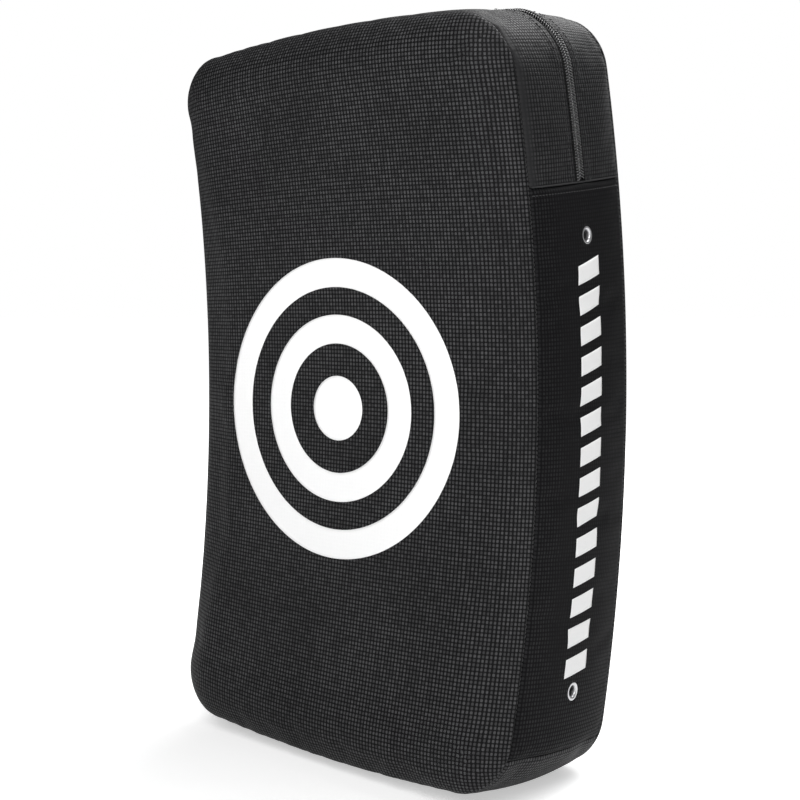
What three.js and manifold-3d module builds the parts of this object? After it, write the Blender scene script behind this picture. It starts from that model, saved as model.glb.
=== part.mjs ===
// Curved kick shield: a zipped cover over three foam layers, with air eyelets in its sides
// and arm straps and grips on its back.
//
// Millimetres, +Z up. +X is the shield's right as seen from the front, -Y is the concave
// striking face and +Y is the back. The origin is under the middle of the standing shield.

import * as THREE from 'three';
import { mergeVertices } from 'three/addons/utils/BufferGeometryUtils.js';
import Module from 'manifold-3d';

const wasm = await Module();
wasm.setup();

// ---- driving dimensions ------------------------------------------------------------

const FACE_HEIGHT = 600; // front seam, along the curve, at the corners
const FACE_WIDTH = 363; // front seam, at the top and bottom corners
const THICKNESS = 134; // front seam to back seam
const FACE_RADIUS = 1292; // curve of the front seam; its centre is in front of the shield
const FRONT_CORNER = 43;
const BACK_CORNER = 35;
const SIDE_BOW = 0.038; // how far the sides bow out at mid height, as a share
const END_BOW = 0.035; // the same for the top and bottom edges
const BACK_SHORTENING = 0.06; // the back outline's share less height than the front's
const BACK_NARROWING = 0.013;
const FRONT_CROWN = 21; // how far the striking face stands in front of its seam
const BACK_CROWN = 14;
const CROWN_EDGE = 42; // width of the rounded edge that the crown rises over
const GUSSET_BULGE = 4.6; // how far the sides stand out between the two seams
const FOOT_FLAT = 3.5; // how far the standing pad's lowest edge is pressed flat

const SKIN = 2; // cover thickness
const FOAM_EDGE = 6; // foam edge to the outside of the gusset
const FOAM_FACE = 3; // foam face to the outside of the front or back panel
const STRIKE_FOAM_DEPTH = 45; // where the strike layer ends, behind the front seam
const CORE_FOAM_DEPTH = 90;
const GAP = 0.3; // clearance between neighbours

const CROSS_SEAM = 167; // height where the zipped strips meet the side panels
const BOTTOM_SEAM_TURN = THREE.MathUtils.degToRad(20); // how far into the lower corner

const EYELET_HEIGHTS = { upper: 127, lower: -220 };
const EYELET_RADIUS = 9.1;
const EYELET_BORE = 4.4;
const EYELET_WALL = 0.8;
const EYELET_SHANK = 4.6; // how far the barrel reaches inside the cover
const EYELET_HEIGHT = 2.1; // how far the face ring stands out
const EYELET_SIDES = 20;

const ZIP_OPENING = 13; // between the two lips of the cover
const TAPE_WIDTH = 16;
const TAPE_THICKNESS = 1;
const TAPE_INSIDE = SKIN + 2 * GAP; // tape face to the outside of the cover
const COIL_WIDTH = 4.2;
const COIL_TOP = 0.6; // how far the coils stand out of the cover
const ZIP_SPLIT = 0.6; // half of the slot between the two tapes
const SLIDER_LENGTH = 18;
const SLIDER_WALL = 0.8;
const SLIDER_PLATE = 1.4;
const SLIDER_UNDER = 1.2; // thickness of the plate behind the tapes
const SLIDER_WEB = 2; // half the length of the web between its two plates
const SLIDER_RISE = 2; // parked slider's lower end above the cross seam
const BAIL_WIDTH = 2.4;
const BAIL_INNER = 3; // half the space inside the bail
const BAIL_BAR = 1.5;
const TAB_LENGTH = 34;
const TAB_WIDTH = 8;
const TAB_THICKNESS = 1.4;
const TAB_RAIL = 1.6; // width of the bars beside the tab's eye
const TAB_EYE = 9; // where the eye ends below the bail

const BAND_HEIGHTS = { lower: -155, middle: 0, upper: 155 };
const BAND_LENGTH = 264;
const BAND_WIDTH = 40;
const WEB_THICKNESS = 2;
const STRAP_PLACE = 96; // arm straps' distance from the middle
const STRAP_WIDTH = 58;
const STRAP_RISE = 68;
const STRAP_SHOULDER = 0.37; // share of the span over which each end climbs
const STRAP_PAD_WIDTH = 66;
const STRAP_PAD_THICKNESS = 9;
const STRAP_PAD_REACH = 78; // half the arm pad's length
const GRIP_WIDTH = 25;
const GRIP_RISE = 50;
const GRIP_SHOULDER = 0.32;
const GRIP_HALF_WIDTH = 15;
const GRIP_HALF_DEPTH = 12;
const GRIP_REACH = 34; // half the grip sleeve's length

// ---- finishes ----------------------------------------------------------------------

function finish(colour, roughness, metalness) {
  return new THREE.MeshStandardMaterial({ color: colour, roughness, metalness });
}

const COVER = finish(0x222224, 0.5, 0);
const STRIKE_FOAM = finish(0x3a3d42, 0.9, 0);
const CORE_FOAM = finish(0xd8d4c8, 0.9, 0);
const BACK_FOAM = finish(0x8a8f96, 0.9, 0);
const WEBBING = finish(0x1b1b1d, 0.85, 0);
const ZIP_TAPE = finish(0x121213, 0.9, 0);
const ZIP_COIL = finish(0x18181a, 0.4, 0);
const ZIP_METAL = finish(0x2b2b2e, 0.35, 0.9);
const NICKEL = finish(0xb9babc, 0.25, 1);

// ---- the pad's shape ---------------------------------------------------------------

// A station is a place round the pad's outline. It keeps its place at every depth.
function sideStation(hand, height) {
  return { hand, height, turnX: hand, turnZ: 0 };
}

function endStation(up, across) {
  return { up, across, turnX: 0, turnZ: up };
}

function cornerStation(hand, up, turn) {
  return { hand, up, turnX: hand * Math.cos(turn), turnZ: up * Math.sin(turn) };
}

// Places a point of the flat pattern (across, height) at a depth behind the front seam
// on the bowed and curved pad. Points pressed by the floor keep their distance inside.
function place(across, height, depth, inside) {
  const share = depth / THICKNESS;
  const halfWidth = (FACE_WIDTH / 2) * (1 - BACK_NARROWING * share);
  const halfHeight = (FACE_HEIGHT / 2) * (1 - BACK_SHORTENING * share);
  const x = across * (1 + SIDE_BOW * (1 - (height / halfHeight) ** 2));
  const arc = height * (1 + END_BOW * (1 - Math.min(1, (across / halfWidth) ** 2)));
  const angle = arc / FACE_RADIUS;
  const radius = FACE_RADIUS + depth;
  const z = Math.max(radius * Math.sin(angle), FOOT_LEVEL + inside);
  return new THREE.Vector3(x, radius * Math.cos(angle) - FACE_RADIUS, z);
}

// A point of the pad's edge: `inside` millimetres in from the gusset's outer surface.
function edgePoint(station, depth, inside, inset = 0) {
  const share = THREE.MathUtils.clamp(depth / THICKNESS, 0, 1);
  const halfWidth = (FACE_WIDTH / 2) * (1 - BACK_NARROWING * share);
  const halfHeight = (FACE_HEIGHT / 2) * (1 - BACK_SHORTENING * share);
  const corner = THREE.MathUtils.lerp(FRONT_CORNER, BACK_CORNER, share);
  const bulge = GUSSET_BULGE * (1 - (2 * share - 1) ** 2);
  const reach = corner + bulge - inside - inset;
  const across = station.across ?? station.hand * (halfWidth - corner) + station.turnX * reach;
  const height = station.height ?? station.up * (halfHeight - corner) + station.turnZ * reach;
  return place(across, height, depth, inside);
}

// A point of the rounded edge of a face, from its seam (rise 0) to its flat (rise 1).
function crownPoint(station, face, rise, edgeInside, faceInside) {
  const turn = (rise * Math.PI) / 2;
  const edge = face.corner - 1;
  const inset = (edge - edgeInside) * (1 - Math.cos(turn));
  const lift = (face.crown - faceInside) * Math.sin(turn) + GAP / 2;
  return edgePoint(station, face.depth + face.outward * lift, edgeInside, inset);
}

const FRONT_FACE = { depth: 0, outward: -1, crown: FRONT_CROWN, corner: CROWN_EDGE };
const BACK_FACE = { depth: THICKNESS, outward: 1, crown: BACK_CROWN, corner: BACK_CORNER };

// Evenly spaced numbers from first to last, both included.
function spread(first, last, steps) {
  return Array.from({ length: steps + 1 }, (_, i) => first + ((last - first) * i) / steps);
}

const CORNER_STEPS = 4;
const SIDE_REACH = 236; // the outermost station on a straight side
const END_REACH = 128; // the outermost station on the top and bottom edges
const END_MIDDLE = 40; // the innermost one

function cornerStations(hand, up, from = 0, to = Math.PI / 2) {
  return spread(from, to, CORNER_STEPS).map((turn) => cornerStation(hand, up, turn));
}

// The right half of the outline, from the bottom to the top.
function rightHalf() {
  return [
    ...[END_MIDDLE, END_REACH].map((across) => endStation(-1, across)),
    ...cornerStations(1, -1).reverse(),
    ...spread(-SIDE_REACH, SIDE_REACH, 12).map((height) => sideStation(1, height)),
    ...cornerStations(1, 1),
    ...[END_REACH, END_MIDDLE].map((across) => endStation(1, across)),
  ];
}

function mirrored(stations) {
  return stations.toReversed().map((station) => ({
    ...station,
    hand: -station.hand,
    across: station.across === undefined ? undefined : -station.across,
    turnX: -station.turnX,
  }));
}

function wholeOutline() {
  const right = rightHalf();
  return [...right, ...mirrored(right)];
}

// ---- solids ------------------------------------------------------------------------

// Joins closed loops of points into one solid. Point j of a loop faces point n-1-j across
// it, so both end loops are closed by a ladder of triangles.
function loftSolid(loops) {
  const count = loops[0].length;
  const positions = loops.flat().flatMap((point) => [point.x, point.y, point.z]);
  const triangles = [];
  const quad = (a, b, c, d) => triangles.push(a, b, c, a, c, d);
  for (let k = 0; k + 1 < loops.length; k += 1) {
    for (let j = 0; j < count; j += 1) {
      const next = (j + 1) % count;
      const low = k * count;
      const high = low + count;
      quad(low + j, low + next, high + next, high + j);
    }
  }
  const last = (loops.length - 1) * count;
  for (let j = 0; j + 1 < count / 2; j += 1) {
    const across = count - 1 - j;
    quad(j, across, across - 1, j + 1);
    quad(last + j, last + j + 1, last + across - 1, last + across);
  }
  return facingOut(positions, triangles);
}

// Builds the geometry and turns it inside out if its faces point inwards.
function facingOut(positions, triangles) {
  const corner = (index) => new THREE.Vector3().fromArray(positions, 3 * index);
  let volume = 0;
  for (let i = 0; i < triangles.length; i += 3) {
    const [a, b, c] = [corner(triangles[i]), corner(triangles[i + 1]), corner(triangles[i + 2])];
    volume += a.dot(b.cross(c));
  }
  const geometry = new THREE.BufferGeometry();
  geometry.setAttribute('position', new THREE.Float32BufferAttribute(positions, 3));
  geometry.setIndex(volume < 0 ? triangles.toReversed() : triangles);
  return geometry;
}

function toManifold(geometry) {
  const bare = geometry.clone();
  bare.deleteAttribute('normal');
  bare.deleteAttribute('uv');
  const merged = mergeVertices(bare);
  return new wasm.Manifold(new wasm.Mesh({
    numProp: 3,
    vertProperties: new Float32Array(merged.attributes.position.array),
    triVerts: new Uint32Array(merged.index.array),
  }));
}

function fromManifold(solid) {
  const mesh = solid.getMesh();
  const geometry = new THREE.BufferGeometry();
  geometry.setAttribute('position', new THREE.BufferAttribute(mesh.vertProperties, 3));
  geometry.setIndex(new THREE.BufferAttribute(mesh.triVerts, 1));
  return geometry;
}

function joined(geometries) {
  return fromManifold(geometries.map(toManifold).reduce((sum, solid) => sum.add(solid)));
}

function cutFrom(geometry, cutters) {
  return fromManifold(cutters.map(toManifold).reduce((rest, cut) => rest.subtract(cut),
    toManifold(geometry)));
}

// A block with its low and high corners at the given places.
function block(low, high) {
  const size = new THREE.Vector3().subVectors(high, low);
  const centre = new THREE.Vector3().addVectors(low, high).divideScalar(2);
  return new THREE.BoxGeometry(size.x, size.y, size.z).translate(centre.x, centre.y, centre.z);
}

// ---- cover -------------------------------------------------------------------------

const CROWN_RISES = spread(0, 1, 5);

function facePanel(face) {
  const outline = wholeOutline();
  const surface = (inside) => CROWN_RISES.map((rise) => (
    outline.map((station) => crownPoint(station, face, rise, inside, inside))));
  return loftSolid([...surface(0).toReversed(), ...surface(SKIN)]);
}

// A strip that lies round the pad's edge between two depths and two distances inside.
function edgeStrip(stations, fromDepth, toDepth, steps, outer, inner) {
  const depths = spread(fromDepth, toDepth, steps);
  return loftSolid(stations.map((station) => [
    ...depths.map((depth) => edgePoint(station, depth, outer)),
    ...depths.toReversed().map((depth) => edgePoint(station, depth, inner)),
  ]));
}

function zippedStations(ends) {
  const right = [
    ...spread(CROSS_SEAM + ends, SIDE_REACH, 3).map((height) => sideStation(1, height)),
    ...cornerStations(1, 1),
    ...[END_REACH, END_MIDDLE].map((across) => endStation(1, across)),
  ];
  return [...right, ...mirrored(right)];
}

const MIDDLE = THICKNESS / 2;
const SEAM_SIDE = GAP / 2;

function zipStrip(fromDepth, toDepth) {
  return edgeStrip(zippedStations(SEAM_SIDE), fromDepth, toDepth, 2, 0, SKIN);
}

function eyeletFrame(hand, height) {
  return edgeFrame(sideStation(hand, height), MIDDLE);
}

function sidePanel(hand) {
  const straight = spread(CROSS_SEAM - SEAM_SIDE, -SIDE_REACH, 10);
  const seam = BOTTOM_SEAM_TURN - SEAM_SIDE / FRONT_CORNER;
  const stations = [
    ...straight.map((height) => sideStation(hand, height)),
    ...spread(0, seam, 2).map((turn) => cornerStation(hand, -1, turn)),
  ];
  const panel = edgeStrip(stations, SEAM_SIDE, THICKNESS - SEAM_SIDE, 4, 0, SKIN);
  const holes = Object.values(EYELET_HEIGHTS).map((height) => {
    const radius = EYELET_BORE + EYELET_WALL + GAP;
    const hole = new THREE.CylinderGeometry(radius, radius, 8 * SKIN, EYELET_SIDES);
    return hole.rotateX(Math.PI / 2).applyMatrix4(eyeletFrame(hand, height));
  });
  return cutFrom(panel, holes);
}

function bottomPanel() {
  const seam = BOTTOM_SEAM_TURN + SEAM_SIDE / FRONT_CORNER;
  const right = [
    ...cornerStations(1, -1, seam),
    ...spread(END_REACH, END_MIDDLE, 2).map((across) => endStation(-1, across)),
  ];
  const stations = [...right, ...mirrored(right)];
  return edgeStrip(stations, SEAM_SIDE, THICKNESS - SEAM_SIDE, 6, 0, SKIN);
}

// ---- foam --------------------------------------------------------------------------

// A slab of foam between two depths. A face given for one end makes that end follow its crown.
function foamSlab(fromDepth, toDepth, frontFace, backFace) {
  const outline = wholeOutline();
  const crown = (face) => CROWN_RISES.slice(1).map((rise) => (
    outline.map((station) => crownPoint(station, face, rise, FOAM_EDGE, FOAM_FACE))));
  const sides = spread(fromDepth, toDepth, 2).map((depth) => (
    outline.map((station) => edgePoint(station, depth, FOAM_EDGE))));
  return loftSolid([
    ...(frontFace ? crown(frontFace).toReversed() : []),
    ...sides,
    ...(backFace ? crown(backFace) : []),
  ]);
}

// ---- zip ---------------------------------------------------------------------------

function zipTape(side) {
  const inner = MIDDLE + side * ZIP_SPLIT;
  const outer = MIDDLE + side * TAPE_WIDTH;
  return edgeStrip(zippedStations(SEAM_SIDE), inner, outer, 1, TAPE_INSIDE,
    TAPE_INSIDE + TAPE_THICKNESS);
}

function zipCoil(side) {
  const inner = MIDDLE + side * ZIP_SPLIT;
  const outer = inner + side * COIL_WIDTH;
  return edgeStrip(zippedStations(SEAM_SIDE), inner, outer, 2, -COIL_TOP, TAPE_INSIDE - GAP);
}

// A frame on the pad's edge: X across the gusset, Y up along it, Z out of the cover.
function edgeFrame(station, depth) {
  const origin = edgePoint(station, depth, 0);
  const above = edgePoint({ ...station, height: station.height + 1 }, depth, 0);
  const behind = edgePoint(station, depth + 1, 0);
  const front = edgePoint(station, depth - 1, 0);
  const up = new THREE.Vector3().subVectors(above, origin).normalize();
  const across = new THREE.Vector3().subVectors(behind, front).multiplyScalar(-station.hand);
  across.addScaledVector(up, -across.dot(up)).normalize();
  const outward = new THREE.Vector3().crossVectors(across, up);
  if (outward.x * station.hand < 0) {
    across.negate();
    outward.negate();
  }
  return new THREE.Matrix4().makeBasis(across, up, outward).setPosition(origin);
}

const SLIDER_STATION = sideStation(-1, CROSS_SEAM + SLIDER_RISE + SLIDER_LENGTH / 2);
const PLATE_LOW = COIL_TOP + GAP;
const PLATE_HIGH = PLATE_LOW + SLIDER_PLATE;
const CHANNEL = ZIP_SPLIT + COIL_WIDTH + GAP; // half the space between the slider's walls
const PIVOT_HEIGHT = PLATE_HIGH + GAP + TAB_THICKNESS / 2;

function zipSlider() {
  const half = SLIDER_LENGTH / 2;
  const wallLow = -TAPE_INSIDE + GAP;
  const underHigh = -TAPE_INSIDE - TAPE_THICKNESS - GAP;
  const underLow = underHigh - SLIDER_UNDER;
  const webHalf = ZIP_SPLIT - GAP;
  const outside = CHANNEL + SLIDER_WALL;
  const at = (x, y, z) => new THREE.Vector3(x, y, z);
  const parts = [
    block(at(-outside, -half, PLATE_LOW), at(outside, half, PLATE_HIGH)),
    block(at(-outside, -half, underLow), at(outside, half, underHigh)),
    block(at(-webHalf, -SLIDER_WEB, underLow), at(webHalf, SLIDER_WEB, PLATE_HIGH)),
    ...[-1, 1].map((hand) => block(
      at(Math.min(hand * CHANNEL, hand * outside), -half, wallLow),
      at(Math.max(hand * CHANNEL, hand * outside), half, PLATE_HIGH),
    )),
    sliderBail(),
  ];
  return joined(parts).applyMatrix4(edgeFrame(SLIDER_STATION, MIDDLE));
}

// The bail stands on the slider's plate along the zip and holds the pull tab's eye.
function sliderBail() {
  const outer = BAIL_INNER + BAIL_BAR;
  const foot = PLATE_HIGH - GAP;
  const top = PIVOT_HEIGHT + TAB_THICKNESS / 2 + GAP;
  const arch = new THREE.Shape();
  arch.moveTo(-outer, foot);
  arch.lineTo(-outer, top);
  arch.lineTo(-BAIL_INNER, top + BAIL_BAR);
  arch.lineTo(BAIL_INNER, top + BAIL_BAR);
  arch.lineTo(outer, top);
  arch.lineTo(outer, foot);
  arch.lineTo(BAIL_INNER, foot);
  arch.lineTo(BAIL_INNER, top);
  arch.lineTo(-BAIL_INNER, top);
  arch.lineTo(-BAIL_INNER, foot);
  arch.closePath();
  const solid = new THREE.ExtrudeGeometry(arch, { depth: BAIL_WIDTH, bevelEnabled: false });
  solid.translate(0, 0, -BAIL_WIDTH / 2);
  return solid.applyMatrix4(new THREE.Matrix4().makeBasis(
    new THREE.Vector3(0, 1, 0), new THREE.Vector3(0, 0, 1), new THREE.Vector3(1, 0, 0),
  ));
}

// The pull tab hangs straight down from the bail; its eye is a window at the top.
function pullTab() {
  const half = TAB_WIDTH / 2;
  const bar = TAB_THICKNESS / 2;
  const plate = new THREE.Shape();
  plate.moveTo(-half, bar);
  plate.lineTo(half, bar);
  plate.lineTo(half, -TAB_LENGTH + half);
  plate.absarc(0, -TAB_LENGTH + half, half, 0, -Math.PI, true);
  plate.closePath();
  const eye = new THREE.Path();
  eye.moveTo(-half + TAB_RAIL, -bar);
  eye.lineTo(-half + TAB_RAIL, -TAB_EYE);
  eye.lineTo(half - TAB_RAIL, -TAB_EYE);
  eye.lineTo(half - TAB_RAIL, -bar);
  eye.closePath();
  plate.holes.push(eye);
  const solid = new THREE.ExtrudeGeometry(plate, {
    depth: TAB_THICKNESS, bevelEnabled: false, curveSegments: 8,
  });
  solid.translate(0, 0, -TAB_THICKNESS / 2);
  const frame = edgeFrame(SLIDER_STATION, MIDDLE);
  const outward = new THREE.Vector3().setFromMatrixColumn(frame, 2);
  const hang = new THREE.Matrix4().makeRotationX(-Math.asin(outward.z));
  const pivot = new THREE.Matrix4().makeTranslation(0, 0, PIVOT_HEIGHT);
  return solid.applyMatrix4(hang).applyMatrix4(pivot).applyMatrix4(frame);
}

// ---- eyelets -----------------------------------------------------------------------

// A ring turned about the hole's axis, from (radius, height out of the cover) points.
function turned(profile, hand, height) {
  const points = [...profile, profile[0]].map(([radius, out]) => new THREE.Vector2(radius, out));
  const ring = new THREE.LatheGeometry(points, EYELET_SIDES).rotateX(Math.PI / 2);
  const solid = ring.applyMatrix4(eyeletFrame(hand, height));
  solid.deleteAttribute('normal');
  solid.deleteAttribute('uv');
  const merged = mergeVertices(solid);
  return facingOut(Array.from(merged.attributes.position.array), Array.from(merged.index.array));
}

function eyelet(hand, height) {
  const wall = EYELET_BORE + EYELET_WALL;
  return turned([
    [EYELET_BORE, -EYELET_SHANK],
    [wall, -EYELET_SHANK],
    [wall, GAP],
    [EYELET_RADIUS, GAP],
    [EYELET_RADIUS - EYELET_WALL / 2, 0.6 * EYELET_HEIGHT],
    [EYELET_RADIUS - 2 * EYELET_WALL, EYELET_HEIGHT],
    [wall + EYELET_WALL / 2, 0.8 * EYELET_HEIGHT],
    [EYELET_BORE, 0.2 * EYELET_HEIGHT],
  ], hand, height);
}

function eyeletWasher(hand, height) {
  const inner = EYELET_BORE + EYELET_WALL + GAP;
  const top = -SKIN - 2 * GAP;
  const low = top - EYELET_WALL;
  return turned([[inner, top], [inner, low], [EYELET_RADIUS, low], [EYELET_RADIUS, top]],
    hand, height);
}

// ---- back straps and grips ---------------------------------------------------------

const BACK_DEPTH = THICKNESS + BACK_CROWN + 2 * GAP;

// A point of a strap's line up the back, and the direction that leads away from the back.
function strapPoint(across, height, rise) {
  const at = (up) => place(across, up, BACK_DEPTH + rise(up), 0);
  const along = new THREE.Vector3().subVectors(at(height + 0.5), at(height - 0.5));
  return { point: at(height), away: new THREE.Vector3(0, along.z, -along.y).normalize() };
}

// A flat strip that runs up the back. `rise` gives its height off the back all along it,
// and its thickness lies between `low` and `high` from that line.
function backStrip(across, width, low, high, heights, rise) {
  return loftSolid(heights.map((height) => {
    const corner = (hand, off) => {
      const { point, away } = strapPoint(across + (hand * width) / 2, height, rise);
      return point.addScaledVector(away, off);
    };
    return [corner(-1, low), corner(1, low), corner(1, high), corner(-1, high)];
  }));
}

function anchorBand(height) {
  const heights = spread(height - BAND_WIDTH / 2, height + BAND_WIDTH / 2, 4);
  return backStrip(0, BAND_LENGTH, 0, WEB_THICKNESS, heights, () => 0);
}

const ARCH_SHARPNESS = 1.2; // above 1, a strap leaves its band more gently

// How far a strap stands off the bands between its two sewn ends. It climbs over the
// `shoulder`, a share of the span at each end, and runs level between them.
function archRise(height, span, shoulder, top) {
  const share = THREE.MathUtils.clamp((height - span.low) / (span.high - span.low), 0, 1);
  const climb = Math.min(1, (0.5 - Math.abs(share - 0.5)) / shoulder);
  return WEB_THICKNESS + GAP + top * Math.sin((climb * Math.PI) / 2) ** ARCH_SHARPNESS;
}

const STRAP_SPAN = {
  low: BAND_HEIGHTS.lower + BAND_WIDTH / 2,
  high: BAND_HEIGHTS.upper - BAND_WIDTH / 2,
};

function strapRise(height) {
  return archRise(height, STRAP_SPAN, STRAP_SHOULDER, STRAP_RISE);
}

function armStrap(hand) {
  const ends = BAND_WIDTH - 2;
  const heights = spread(STRAP_SPAN.low - ends, STRAP_SPAN.high + ends, 26);
  return backStrip(hand * STRAP_PLACE, STRAP_WIDTH, 0, WEB_THICKNESS, heights, strapRise);
}

function armStrapPad(hand) {
  const heights = spread(-STRAP_PAD_REACH, STRAP_PAD_REACH, 12);
  const low = -GAP - STRAP_PAD_THICKNESS;
  return backStrip(hand * STRAP_PLACE, STRAP_PAD_WIDTH, low, -GAP, heights, strapRise);
}

// Where a grip leaves the middle band and the upper or lower band.
function gripSpan(level) {
  const inner = (Math.sign(BAND_HEIGHTS[level]) * BAND_WIDTH) / 2;
  const outer = BAND_HEIGHTS[level] - inner;
  return { low: Math.min(inner, outer), high: Math.max(inner, outer) };
}

function gripRise(level) {
  const span = gripSpan(level);
  return (height) => archRise(height, span, GRIP_SHOULDER, GRIP_RISE);
}

function gripTape(level, slack = 0) {
  const span = gripSpan(level);
  const ends = BAND_WIDTH / 2 - 3;
  const heights = spread(span.low - ends, span.high + ends, 18);
  const width = GRIP_WIDTH + 2 * slack;
  return backStrip(0, width, -slack, WEB_THICKNESS + slack, heights, gripRise(level));
}

// A round sleeve along the grip's arch, with the tape's way through it cut out.
function gripSleeve(level) {
  const span = gripSpan(level);
  const middle = (span.low + span.high) / 2;
  const heights = spread(middle - GRIP_REACH, middle + GRIP_REACH, 8);
  const turns = spread(0, 2 * Math.PI, 12).slice(0, -1);
  const loops = heights.map((height) => turns.map((turn) => {
    const across = GRIP_HALF_WIDTH * Math.cos(turn);
    const { point, away } = strapPoint(across, height, gripRise(level));
    return point.addScaledVector(away, WEB_THICKNESS / 2 + GRIP_HALF_DEPTH * Math.sin(turn));
  }));
  return cutFrom(loftSolid(loops), [gripTape(level, GAP)]);
}

// ---- the whole shield --------------------------------------------------------------

// Height of the floor below the pad's middle: the lowest edge, less what is pressed flat.
const FOOT_LEVEL = FOOT_FLAT - Math.max(...spread(0, THICKNESS, 20).map((depth) => {
  const share = depth / THICKNESS;
  const bulge = GUSSET_BULGE * (1 - (2 * share - 1) ** 2);
  const halfHeight = (FACE_HEIGHT / 2) * (1 - BACK_SHORTENING * share) + bulge;
  return (FACE_RADIUS + depth) * Math.sin((halfHeight * (1 + END_BOW)) / FACE_RADIUS);
}));

const shield = new THREE.Group();

function add(name, geometry, material) {
  const mesh = new THREE.Mesh(geometry, material);
  mesh.name = name;
  shield.add(mesh);
}

const HANDS = { left: -1, right: 1 };

add('front_panel', facePanel(FRONT_FACE), COVER);
add('back_panel', facePanel(BACK_FACE), COVER);
add('zip_strip_front', zipStrip(SEAM_SIDE, MIDDLE - ZIP_OPENING / 2), COVER);
add('zip_strip_rear', zipStrip(MIDDLE + ZIP_OPENING / 2, THICKNESS - SEAM_SIDE), COVER);
add('bottom_panel', bottomPanel(), COVER);

add('strike_foam', foamSlab(0, STRIKE_FOAM_DEPTH, FRONT_FACE, null), STRIKE_FOAM);
add('core_foam', foamSlab(STRIKE_FOAM_DEPTH + GAP, CORE_FOAM_DEPTH, null, null), CORE_FOAM);
add('back_foam', foamSlab(CORE_FOAM_DEPTH + GAP, THICKNESS, null, BACK_FACE), BACK_FOAM);

for (const [name, side] of Object.entries({ front: -1, rear: 1 })) {
  add(`zip_tape_${name}`, zipTape(side), ZIP_TAPE);
  add(`zip_coil_${name}`, zipCoil(side), ZIP_COIL);
}
add('zip_slider', zipSlider(), ZIP_METAL);
add('zip_pull_tab', pullTab(), ZIP_METAL);

for (const [side, hand] of Object.entries(HANDS)) {
  add(`side_panel_${side}`, sidePanel(hand), COVER);
  for (const [level, height] of Object.entries(EYELET_HEIGHTS)) {
    add(`eyelet_${level}_${side}`, eyelet(hand, height), NICKEL);
    add(`eyelet_washer_${level}_${side}`, eyeletWasher(hand, height), NICKEL);
  }
  add(`arm_strap_${side}`, armStrap(hand), WEBBING);
  add(`arm_strap_pad_${side}`, armStrapPad(hand), COVER);
}

for (const [level, height] of Object.entries(BAND_HEIGHTS)) {
  add(`anchor_band_${level}`, anchorBand(height), WEBBING);
}
for (const level of ['upper', 'lower']) {
  add(`grip_tape_${level}`, gripTape(level), WEBBING);
  add(`grip_sleeve_${level}`, gripSleeve(level), COVER);
}

// Stand the shield on the floor, centred over the origin.
const extent = new THREE.Box3().setFromObject(shield, true);
const centre = extent.getCenter(new THREE.Vector3());
shield.position.set(-centre.x, -centre.y, -extent.min.z);

export default shield;
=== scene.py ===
"""Looks of the kick shield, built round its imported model: cover, zip, prints, eyelets, straps and grips."""

import logging
import math
from collections.abc import Callable
from dataclasses import dataclass
from enum import Enum

import bpy
import numpy as np
from mathutils import Matrix, Vector
from mathutils.bvhtree import BVHTree


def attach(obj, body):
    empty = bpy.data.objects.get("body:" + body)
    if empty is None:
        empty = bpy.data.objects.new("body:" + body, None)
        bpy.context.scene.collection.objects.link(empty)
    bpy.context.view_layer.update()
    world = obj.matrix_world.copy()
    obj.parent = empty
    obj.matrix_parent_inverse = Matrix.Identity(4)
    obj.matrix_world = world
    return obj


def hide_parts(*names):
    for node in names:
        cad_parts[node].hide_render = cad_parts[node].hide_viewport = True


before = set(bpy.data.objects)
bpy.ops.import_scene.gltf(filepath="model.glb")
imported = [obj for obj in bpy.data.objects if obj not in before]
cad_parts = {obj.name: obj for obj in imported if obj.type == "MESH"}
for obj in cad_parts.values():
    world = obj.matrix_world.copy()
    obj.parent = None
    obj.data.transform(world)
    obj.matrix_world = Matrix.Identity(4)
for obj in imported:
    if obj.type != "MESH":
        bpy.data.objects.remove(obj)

LOG = logging.getLogger("kick_shield")
MM = 0.001
UV_NAME = "cloth"
EMBOSS = "emboss"

Colour = tuple[float, float, float]
Socket = bpy.types.NodeSocket
Value = Socket | float


class Hand(Enum):
    """The two sides of the shield, as seen from the front."""

    LEFT = -1
    RIGHT = 1

    @property
    def word(self) -> str:
        """The side's name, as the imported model's nodes spell it."""
        return self.name.lower()


# ---- node graphs and finishes ------------------------------------------------------


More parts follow.
